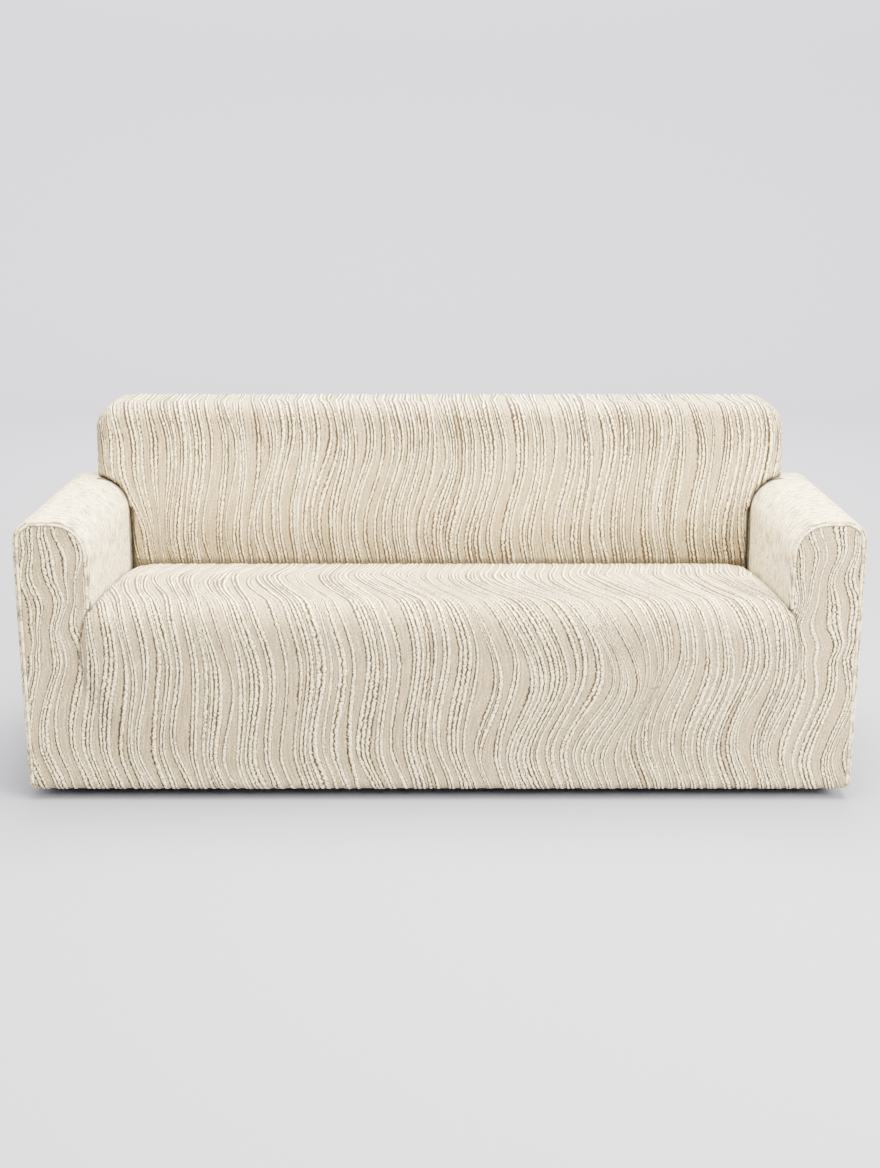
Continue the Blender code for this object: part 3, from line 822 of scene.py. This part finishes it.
# plane of the rear panel, the rounding of its edges, and how slowly the hem turns a corner
REAR_Y = 0.372
REAR_EDGE = 0.030
HEM_CORNER = 0.16
# where the arm's top starts to roll down to the rear, and where the back stands on it
REAR_FALL_START = 0.216
REAR_FALL_RADIUS = 0.170
BACK_LEAN = 0.075
BENEATH_BACK = CREASE_POINT - 1 - ARC * 3 // 4
TUCK_START_Y = FACE_Y + 0.016
CUT_Y = REAR_FALL_START - 0.006
# the band is pulled smooth from this far along the cloth, and beside the seam with the welt
PULLED_START = 0.46
PULLED_LENGTH = 0.14
SEAM_PULLS = 0.030


def rear_fall(y):
    """How far the arm's top has come down where it rolls over to the rear."""
    past = np.clip(y - REAR_FALL_START, 0.0, None)
    return REAR_FALL_RADIUS - np.sqrt(REAR_FALL_RADIUS**2 - past**2)


def rear_inset(y):
    return REAR_EDGE * quarter((y - REAR_Y + REAR_EDGE) / REAR_EDGE)


def lowered(z, y):
    """Height of a point of the arm's section at y, once the top has rolled down."""
    return z - rear_fall(y) * (z / ARM_TOP) ** 2


def arm_row(section, y, extra_front=0.0, extra_rear=0.0):
    """The arm's section at one y, with its hem following the sofa's corners."""
    front = FRONT_EDGE * quarter((FACE_Y + FRONT_EDGE - y) / FRONT_EDGE)
    moved = section_inset(section, front + extra_front, rear_inset(y) + extra_rear)
    lip = np.clip(HALF_HEM - HEM_ROLL - section[:, 0], 0.0, None) * (section[:, 1] < DART_Z)
    turned = HEM_ROLL * quarter(1.0 - section[:, 1] / HEM_ROLL) + lip
    corner = smooth((REAR_Y - y) / HEM_CORNER) - smooth((y - FACE_Y) / HEM_CORNER)
    return np.stack([moved[:, 0], y + turned * corner, lowered(moved[:, 1], y)], axis=1)


def band_sway(across, run):
    waves = 0.011 * np.sin(run * 21.0 + across * 9.0) + 0.005 * np.sin(run * 47.0 + across * 17.0)
    return waves * (1.0 - 0.6 * smooth((run - 0.55) / 0.15))


def arm_band(
    side, knit, outer_points, inner_points, tuck_points, front_points, middle_points, rear_points
):
    """The band as three grids: the full length, the inner side up to the back, and its tuck."""
    parts = (
        spread(SECTION[: BENEATH_BACK + 1], outer_points),
        spread(SECTION[BENEATH_BACK: CREASE_POINT + 1], inner_points)[1:],
        spread(SECTION[CREASE_POINT:], tuck_points)[1:],
    )
    section = np.concatenate(parts)
    bend = quarter_turn(front_points)
    stations = np.concatenate(
        [
            FACE_Y + FRONT_EDGE * (1.0 - np.cos(bend)),
            np.linspace(TUCK_START_Y, CUT_Y, middle_points + 1),
            np.linspace(CUT_Y, REAR_Y - REAR_EDGE, rear_points + 1)[1:],
            REAR_Y - REAR_EDGE * (1.0 - np.sin(bend[1:])),
        ]
    )
    # the ribs keep their width round the front and rear corners
    laid = stations.copy()
    laid[: front_points + 1] = FACE_Y + FRONT_EDGE * (1.0 + bend - bend[-1])
    laid[-front_points:] = REAR_Y - REAR_EDGE + REAR_EDGE * bend[1:]
    points = np.array([arm_row(section, y) for y in stations]) * (side, 1.0, 1.0)
    height = points[..., 2]
    across = np.broadcast_to(laid[:, None], height.shape)
    run = np.broadcast_to(lengths_along(section), height.shape)

    beside_welt = smooth((FACE_Y + SEAM_PULLS - stations[:, None]) / 0.014)
    pulled = np.maximum(smooth((run - PULLED_START) / PULLED_LENGTH), beside_welt)
    from_middle = np.abs(stations - (FACE_Y + REAR_Y) / 2.0)[:, None]
    edge = smooth((from_middle - 0.355) / 0.010)
    # painted shade on the inner side, where the band lies in the crease with the seat and where the
    # back stands on it
    inside = np.abs(points[..., 0]) < ARM_IN + INNER_SHOULDER
    _, crease_y, crease_z = zip(*CREASE[3::-1])
    over_seat = height - np.interp(stations, crease_y, crease_z)[:, None]
    painted_fold_shade = 0.75 * smooth(1.0 - (over_seat - 0.004) / 0.012)
    back_line = BACK_FOOT_Y + BACK_LEAN * np.clip(height - CREASE[0][2], 0.0, None)
    painted_shade_near_back = smooth(1.3 - np.abs(back_line - points[..., 1]) / 0.014)
    painted_fold_shade = np.maximum(painted_fold_shade, painted_shade_near_back) * inside

    beneath = len(parts[0]) - 1
    crease = beneath + len(parts[1])
    tuck_row = front_points + 1
    cut_row = tuck_row + middle_points
    grids = []
    for rows, columns in (
        (slice(None), slice(0, beneath + 1)),
        (slice(0, cut_row + 1), slice(beneath, crease + 1)),
        (slice(tuck_row, cut_row + 1), slice(crease, None)),
    ):
        grid = patch(
            points[rows, columns], across[rows, columns], run[rows, columns], knit,
            pulled[rows, columns], edge[rows], crease=painted_fold_shade[rows, columns],
        )
        grids.append(flipped(grid) if side > 0.0 else grid)
    return grids


for word, side, seed in (("right", 1.0, 52), ("left", -1.0, 57)):
    band_knit = Knit(seed, start=-0.50, end=0.50, length=1.15, sway=band_sway)
    band = make_cloth(
        f"arm_band_{word}_cloth",
        arm_band(
            side, band_knit, outer_points=84, inner_points=24, tuck_points=4,
            front_points=5, middle_points=224, rear_points=54,
        ),
        arm_band(
            side, band_knit, outer_points=30, inner_points=8, tuck_points=1,
            front_points=2, middle_points=12, rear_points=6,
        ),
    )
    band.data.materials.append(knit_cloth)
    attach(band, "root")
    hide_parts(f"arm_band_{word}")


# ==== Welts =====================================================================================
# A thin cord wrapped in the same cloth, sewn into the seam round each arm front: from the hem up
# the outer side, over the top and down the inner side to the seat.

# the first point of the arm's section that it follows, and how far it lies behind the arm front
WELT_START = 1 + ARC // 2
WELT_BEHIND = 0.001
WELT_SIDES = 12
WELT_STEPS = 340
# how far its cloth is rib, furrow and pulled smooth
WELT_LOOK = (0.9, 0.0, 0.75)

for word, side in (("right", 1.0), ("left", -1.0)):
    path = arm_row(SECTION, FACE_Y, WELT_INSET - FRONT_EDGE)[WELT_START: CREASE_POINT + 1]
    path = spread(path, WELT_STEPS)
    lifted = WELT_RADIUS * smooth(1.0 - path[:, 2] / (1.5 * HEM_ROLL))
    path[:, 1] += WELT_BEHIND + 0.8 * lifted
    path[:, 2] += lifted
    heading = np.gradient(path, axis=0)
    heading /= np.linalg.norm(heading, axis=1)[:, None]
    forward = np.array([0.0, -1.0, 0.0])
    forward = forward - heading * (heading @ forward)[:, None]
    forward /= np.linalg.norm(forward, axis=1)[:, None]
    aside = np.cross(heading, forward)
    turn = np.linspace(0.0, 2.0 * np.pi, WELT_SIDES, endpoint=False)
    ring = forward[:, None] * np.cos(turn)[:, None] + aside[:, None] * np.sin(turn)[:, None]
    points = ((path[:, None] + ring * WELT_RADIUS) * (side, 1.0, 1.0)).reshape(-1, 3)
    index = np.arange(len(points)).reshape(WELT_STEPS + 1, WELT_SIDES)
    beside = np.roll(index, -1, axis=1)
    faces = np.stack([index[:-1], beside[:-1], beside[1:], index[1:]], axis=-1).reshape(-1, 4)
    faces = faces.tolist() + [index[0, ::-1].tolist(), index[-1].tolist()]
    if side > 0.0:
        faces = [face[::-1] for face in faces]
    place = np.repeat(lengths_along(path), WELT_SIDES)
    round_place = np.tile(turn * WELT_RADIUS, WELT_STEPS + 1) + 0.25 * place
    knit = np.stack([np.full(len(place), 0.5), place, round_place], axis=-1)
    # painted shade on the back and sides of the cord, beside the seam it is sewn into
    shade = np.tile(0.55 * smooth(-np.cos(turn) + 0.5), WELT_STEPS + 1)
    look = np.tile(WELT_LOOK, (len(points), 1))
    welt = add_piece(f"welt_{word}_cloth", points, faces, knit, look, shade)
    welt.data.materials.append(knit_cloth)
    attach(welt, "root")
    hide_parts(f"welt_{word}")


# ==== Inside back ===============================================================================
# One piece of the knit for the front, top and sides of the back. It is tucked down behind the
# seat, leans a little, rolls over the edges of the back and is sewn to the rear panel. Its lower
# edges at the sides rest on the arms.

# half its width, its height, its rounded upper corners, and the roll of its edges
BACK_HALF = 0.880
BACK_TOP = 0.839
BACK_CORNER = 0.066
BACK_ROLL = 0.045
CORNER_TURN = BACK_CORNER - BACK_ROLL
INNER_HALF = BACK_HALF - BACK_ROLL
INNER_TOP = BACK_TOP - BACK_ROLL
# its front is crowned between the arms, sinks into a crevice beside them and a crease at the
# seat, and settles onto the arms over these heights
BACK_CROWN = 0.012
BETWEEN_ARMS = ARM_IN - 2 * SEAM
CREVICE = 0.012
BACK_CREASE_Z = 0.419
STRIP_FOOT = 0.574
BACK_SETTLE = 0.15
BACK_SIDE_SETTLE = 0.13
# an edge that faces sideways by more than this is one of its ends
AT_ENDS = 0.9
# how far along the cloth its front begins, below the roll over the top
FRONT_RUN = 0.30


def arm_top_at(x):
    """Height, just clear of the arm's own surface, at a place beside or beneath the back."""
    clear = section_inset(SECTION, -2.0 * SEAM)
    over_top = SECTION[:, 0] < ARM_OUT - OUTER_SHOULDER + 0.001
    clear = clear[over_top & (SECTION[:, 1] > CREASE[3][2] + 0.02)][::-1]
    return np.interp(x, clear[:, 0], clear[:, 1])


def back_face(x, z):
    """Points on the back's front surface: leaning, a little crowned between the arms."""
    near_end = np.clip((np.abs(x) - INNER_HALF) / CORNER_TURN + 1.0, 0.0, 1.0)
    near_top = np.clip((z - INNER_TOP) / CORNER_TURN + 1.0, 0.0, 1.0)
    x = x - np.sign(x) * CORNER_TURN * near_end * (1.0 - np.sqrt(1.0 - near_top**2 / 2.0))
    z = z - CORNER_TURN * near_top * (1.0 - np.sqrt(1.0 - near_end**2 / 2.0))
    up = np.clip((z - CREASE[0][2]) / (BACK_TOP - CREASE[0][2]), 0.0, 1.0)
    lean = BACK_LEAN * np.clip(z - CREASE[0][2], 0.0, None)
    middle = 1.0 - smooth((np.abs(x) - BETWEEN_ARMS + 0.08) / 0.10)
    dip = CREVICE * smooth(1.0 - (BETWEEN_ARMS - np.abs(x)) / 0.014) * (z < STRIP_FOOT)
    dip = np.where(np.abs(x) > BETWEEN_ARMS + 0.001, 0.0, dip)
    y = BACK_FOOT_Y + lean - BACK_CROWN * 4.0 * up * (1.0 - up) * middle + dip
    return np.stack([x, y, z], axis=-1)


def back_front(columns, strip_columns, low_rows, side_rows):
    """Front of the back between the arms, and its right-hand strip above the arm."""
    tucked = [CREASE[0][2] - TUCK]
    below = np.linspace(BACK_CREASE_Z, STRIP_FOOT, low_rows + 1)[:-1]
    above = np.linspace(STRIP_FOOT, INNER_TOP, side_rows + 1)
    across = np.linspace(-BETWEEN_ARMS, BETWEEN_ARMS, columns + 1)
    middle = back_face(*np.meshgrid(across, np.concatenate([tucked, below, above])))
    strip = np.linspace(BETWEEN_ARMS, INNER_HALF, strip_columns + 1)
    x, z = np.meshgrid(strip, above)
    settle = 1.0 - smooth((z - STRIP_FOOT) / BACK_SETTLE)
    z[:, 1:] += ((arm_top_at(strip) - STRIP_FOOT) * settle)[:, 1:]
    return middle, back_face(x, z)


def back_rings(middle, side, roll_points, flat_points, edge_points):
    """From the front's edge over the roll, rearward along top and sides, to the rear panel."""
    left = mirrored(side)
    edge = np.concatenate([left[:, 0], left[-1, 1:], middle[-1, 1:-1], side[-1], side[-2::-1, -1]])
    flat = edge[:, ::2]
    away = -outward(flat)
    away[0] = (-1.0, 0.0)
    away[-1] = (1.0, 0.0)
    front_y = edge[:, 1]
    rear_start = REAR_Y - REAR_EDGE
    rings = []
    for a in quarter_turn(roll_points):
        rings.append((BACK_ROLL * np.sin(a), front_y + BACK_ROLL * (1.0 - np.cos(a))))
    for share in np.linspace(0.0, 1.0, flat_points + 1)[1:]:
        start = front_y + BACK_ROLL
        rings.append((BACK_ROLL, start + (rear_start - start) * share))
    for a in quarter_turn(edge_points)[1:]:
        reach = BACK_ROLL - REAR_EDGE * (1.0 - np.cos(a))
        rings.append((reach, np.full(len(edge), rear_start + REAR_EDGE * np.sin(a))))
    settle = 1.0 - smooth((flat[:, 1] - flat[0, 1]) / BACK_SIDE_SETTLE)
    settle = settle * (np.abs(away[:, 0]) > AT_ENDS)
    grid = []
    for reach, y in rings:
        x = flat[:, 0] + away[:, 0] * reach
        z = flat[:, 1] + away[:, 1] * reach
        lowest = lowered(arm_top_at(np.abs(x)) - 0.4 * rear_inset(y), y) + 3.0 * SEAM
        z = z + (lowest - flat[0, 1]) * settle
        grid.append(np.stack([x, y, z], axis=1))
    return np.array(grid), away


def back_sway(across, run):
    """Ribs lean right over the top edge, drift left further down, and slant in at both ends."""
    late = 0.03 * np.sin(across * 7.0 + 0.6) + 0.016 * np.sin(across * 21.0)
    end = smooth((-across - 0.68) / 0.16)
    drift = (0.034 + 0.012 * np.sin(across * 5.0 + 2.0)) * (1.0 - end) - 0.052 * end
    sway = 0.024 * smooth((run - 0.20 - 0.5 * late) / 0.15)
    sway -= drift * smooth((run - 0.37 - late) / 0.20)
    return sway + 0.014 * smooth((run - 0.585 - 0.4 * late) / 0.10)


BACK_KNIT = Knit(seed=64, start=-1.35, end=1.35, length=0.90, sway=back_sway)
# its furrows are drawn darker and wider where it is stretched over the top and at its foot, as
# painted shade in their grooves
BACK_KNIT.darken_furrows(
    (FRONT_RUN + 0.03, FRONT_RUN + 0.12, FRONT_RUN + 0.26, FRONT_RUN + 0.38), (2.2, 1.0, 1.1, 2.4)
)


def inside_back(
    columns, strip_columns, low_rows, side_rows, roll_points, flat_points, edge_points
):
    """The piece as four grids: between the arms, a strip above each arm, and top with both ends."""
    middle, side = back_front(columns, strip_columns, low_rows, side_rows)
    rings, away = back_rings(middle, side, roll_points, flat_points, edge_points)
    x, height = middle[..., 0], middle[..., 2]
    middle_run = FRONT_RUN + INNER_TOP - height
    side_run = FRONT_RUN + INNER_TOP - side[..., 2]
    left = mirrored(side)
    steps = np.linalg.norm(np.diff(rings, axis=0), axis=2)
    depth = np.concatenate([np.zeros((1, rings.shape[1])), np.cumsum(steps, axis=0)])
    ring_across = rings[0][:, 0] + depth * away[:, 0]
    ring_run = FRONT_RUN + INNER_TOP - rings[0][:, 2] - depth * away[:, 1]
    seam = smooth((depth - depth[-1] + 0.008) / 0.008)

    tucked = smooth((BACK_CREASE_Z - height) / 0.01)
    # painted shade: darker low on the back towards the seat, and in the crevice beside each arm
    low = 0.85 * smooth((0.450 - height) / 0.022) + 0.38 * smooth((0.62 - height) / 0.20)
    painted_shade_beside_arm = smooth(1.3 - (BETWEEN_ARMS - np.abs(x)) / 0.012) * (height < STRIP_FOOT + 0.01)
    painted_fold_shade = np.maximum(np.minimum(low, 0.9), painted_shade_beside_arm)
    # painted shade at the foot of each strip, where it rests on the arm
    painted_shade_on_arm = smooth(1.2 - (side[..., 2] - side[0, :, 2]) / 0.014)
    # painted shade where the ends of the back rest on the arms
    arm_top = lowered(arm_top_at(np.abs(rings[..., 0])), rings[..., 1])
    painted_shade_at_ring_foot = smooth(1.1 - np.abs(rings[..., 2] - arm_top) / 0.012)
    painted_shade_at_ring_foot = painted_shade_at_ring_foot * (np.abs(away[:, 0]) > AT_ENDS)
    return [
        patch(middle, x, middle_run, BACK_KNIT, calm=tucked, crease=painted_fold_shade),
        patch(side, side[..., 0], side_run, BACK_KNIT, crease=painted_shade_on_arm),
        patch(left, left[..., 0], side_run[:, ::-1], BACK_KNIT, crease=painted_shade_on_arm[:, ::-1]),
        patch(rings, ring_across, ring_run, BACK_KNIT, calm=seam, crease=painted_shade_at_ring_foot),
    ]


back = make_cloth(
    "inside_back_cloth",
    inside_back(
        columns=640, strip_columns=14, low_rows=15, side_rows=22,
        roll_points=10, flat_points=22, edge_points=6,
    ),
    inside_back(
        columns=50, strip_columns=4, low_rows=3, side_rows=7,
        roll_points=3, flat_points=4, edge_points=2,
    ),
)
back.data.materials.append(knit_cloth)
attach(back, "root")
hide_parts("inside_back")


# ==== Outside back ==============================================================================
# The rear panel: wide behind the arms, narrower above them, sewn all round to the arm bands and
# the inside back, a little full between its seams, and hemmed at the floor.

REAR_FULL = 0.0045


def filled_out(block):
    """Points (x, y, z) of a flat block of the rear panel, fuller towards the panel's middle."""
    x, z = block[..., 0], block[..., 1]
    across = np.clip(1.0 - (x / (BACK_HALF - REAR_EDGE)) ** 2, 0.0, 1.0)
    up = np.sin(np.pi * np.clip((z - HEM_ROLL) / (BACK_TOP - REAR_EDGE - HEM_ROLL), 0.0, 1.0))
    return np.stack([x, REAR_Y + REAR_FULL * across * up, z], axis=-1)


def rear_sway(across, run):
    waves = 0.020 * np.sin(run * 9.0 + across * 2.5) + 0.009 * np.sin(run * 23.0 + across * 6.0)
    return waves + 0.010 * np.sin(run * 5.0 - across * 4.0)


REAR_KNIT = Knit(seed=75, start=-1.10, end=1.10, length=1.00, sway=rear_sway)


def outside_back(columns, strip_columns, side_rows, low_rows, shoulder_columns, turns):
    """The panel as five grids: behind each arm, between them, above them, and the hem."""
    middle, side = back_front(columns, strip_columns, 2, side_rows)
    upper = back_rings(middle, side, 3, 2, 4)[0][-1][:, ::2]
    away = -outward(upper)
    away[0] = (-1.0, 0.0)
    away[-1] = (1.0, 0.0)
    upper = upper - away * 2.0 * SEAM
    outline = arm_row(SECTION, REAR_Y, 0.0, 2.0 * SEAM)[HEM_TOP_POINT: BENEATH_BACK + 1, ::2]
    corner = 3 + ARC // 2 + 1
    half = SECTION[BENEATH_BACK, 0] - 2.0 * SEAM
    upper[0, 0] = -half
    upper[-1, 0] = half
    step_z = outline[-1, 1]
    outline[-1, 0] = half

    right = spread(outline[: corner + 1], low_rows)
    top = spread(outline[corner:][::-1], shoulder_columns)
    up = np.linspace(0.0, 1.0, low_rows + 1)
    left = np.stack([np.full(len(up), half), HEM_ROLL + (step_z - HEM_ROLL) * up], axis=1)
    shoulder = fill(np.linspace(left[0], right[0], len(top)), top, left, right)

    rows = side_rows + 1
    upper_top = upper[rows - 1: len(upper) - rows + 1]
    over = np.linspace(-1.0, 1.0, len(upper_top))
    step = np.stack([half * over, np.full(len(over), step_z)], axis=1)
    upper_left = np.concatenate([step[:1], upper[:rows]])
    upper_right = np.concatenate([step[-1:], upper[: -rows - 1: -1]])
    above = fill(step, upper_top, upper_left, upper_right)
    low = np.stack([step[:, 0], np.full(len(step), HEM_ROLL)], axis=1)
    middle = fill(low, step, left * (-1.0, 1.0), left)

    across = np.concatenate([-shoulder[0, :0:-1, 0], step[:, 0], shoulder[0, 1:, 0]])
    beyond = np.clip((np.abs(across) - half) / (across[-1] - half), 0.0, 1.0)
    hem = []
    for z, turned in hem_rows(HEM_ROLL, 1, turns)[1:]:
        x = across - np.sign(across) * beyond * turned
        hem.append(np.stack([x, np.full(len(x), REAR_Y - turned), np.full(len(x), z)], axis=1))
    blocks = [filled_out(shoulder), mirrored(filled_out(shoulder))]
    blocks += [filled_out(middle), filled_out(above), np.array(hem)[::-1]]
    return [flipped(patch(b, b[..., 0], BACK_TOP - b[..., 2], REAR_KNIT)) for b in blocks]


rear = make_cloth(
    "outside_back_cloth",
    outside_back(
        columns=560, strip_columns=14, side_rows=20, low_rows=58, shoulder_columns=34, turns=6
    ),
    outside_back(
        columns=50, strip_columns=4, side_rows=6, low_rows=8, shoulder_columns=5, turns=3
    ),
)
rear.data.materials.append(knit_cloth)
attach(rear, "root")
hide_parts("outside_back")


# ==== Studio ====================================================================================
# A plain pale bowl of a floor whose rim curves up all round, daylight with a large soft lamp
# overhead, a smaller one at the right and a third on the wall behind, and a camera straight in
# front, above the height of the back and tilted down.

BOWL_FLOOR = 6.0
BOWL_CURVE = 2.2
BOWL_WALL = 2.6
BOWL_STEP = 7.5
BOWL_TURN = 5.0
FLOOR_DROP = 0.025
PAINT_COLOUR = (0.221, 0.236, 0.300)
bowl_profile = [(0.5, 0.0), (3.0, 0.0), (BOWL_FLOOR, 0.0)]
for bend in np.radians(np.arange(BOWL_STEP, 91.0, BOWL_STEP)):
    out, up = BOWL_CURVE * np.sin(bend), BOWL_CURVE * (1.0 - np.cos(bend))
    bowl_profile.append((BOWL_FLOOR + out, up))
bowl_profile.append((BOWL_FLOOR + BOWL_CURVE, BOWL_CURVE + BOWL_WALL))
bowl_turns = np.radians(np.arange(0.0, 360.0, BOWL_TURN))
bowl_points = [
    (r * np.cos(a), r * np.sin(a), z - FLOOR_DROP) for r, z in bowl_profile for a in bowl_turns
]
bowl_points.append((0.0, 0.0, -FLOOR_DROP))
bowl_faces = []
for i in range(len(bowl_turns)):
    j = (i + 1) % len(bowl_turns)
    bowl_faces.append((len(bowl_points) - 1, i, j))
    for ring in range(len(bowl_profile) - 1):
        low, high = ring * len(bowl_turns), (ring + 1) * len(bowl_turns)
        bowl_faces.append((low + i, high + i, high + j, low + j))
bowl_mesh = bpy.data.meshes.new("studio_bowl")
bowl_mesh.from_pydata(bowl_points, [], bowl_faces)
bowl_mesh.shade_smooth()
bowl = bpy.data.objects.new("studio_bowl", bowl_mesh)
bpy.context.scene.collection.objects.link(bowl)
paint = bpy.data.materials.new("studio_paint")
paint.use_nodes = True
paint_shader = paint.node_tree.nodes["Principled BSDF"]
paint_shader.inputs["Base Color"].default_value = colour(PAINT_COLOUR)
paint_shader.inputs["Roughness"].default_value = 0.9
bowl_mesh.materials.append(paint)

LAMP_COLOUR = (1.0, 0.92, 0.78)
DAYLIGHT = 3.4
world = bpy.data.worlds.new("daylight")
bpy.context.scene.world = world
world.use_nodes = True
sky = world.node_tree.nodes["Background"]
sky.inputs["Color"].default_value = colour(LAMP_COLOUR)
sky.inputs["Strength"].default_value = DAYLIGHT


def soft_light(name, place, aim, size, power):
    """A flat lamp at a place, turned to its aim."""
    lamp = bpy.data.lights.new(name, "AREA")
    lamp.shape = "RECTANGLE"
    lamp.size, lamp.size_y = size
    lamp.energy = power
    lamp.color = LAMP_COLOUR
    holder = bpy.data.objects.new(name, lamp)
    bpy.context.scene.collection.objects.link(holder)
    holder.location = place
    x, y, z = np.array(aim) - np.array(place)
    tilt = np.pi / 2 + np.arctan2(z, np.hypot(x, y))
    holder.rotation_euler = (float(tilt), 0.0, float(np.arctan2(y, x) - np.pi / 2))


MIDDLE = (0.0, 0.0, 0.4)
soft_light("overhead", (0.3, 0.05, 3.6), MIDDLE, (4.5, 2.8), 1460.0)
soft_light("key", (3.6, -3.4, 2.8), MIDDLE, (2.4, 2.4), 900.0)
soft_light("backdrop", (0.0, 3.0, 4.5), (0.0, 8.0, 2.5), (8.0, 1.5), 2480.0)

CAMERA_PITCH = 14.64
CAMERA_PLACE = (0.0005, FACE_Y - 3.573, 1.4373)
camera = bpy.data.objects.new("camera", bpy.data.cameras.new("camera"))
bpy.context.scene.collection.objects.link(camera)
camera.data.lens = 50.0
camera.data.sensor_width = 36.0
camera.data.sensor_fit = "AUTO"
camera.location = CAMERA_PLACE
camera.rotation_euler = (float(np.radians(90.0 - CAMERA_PITCH)), 0.0, 0.0)
bpy.context.scene.camera = camera
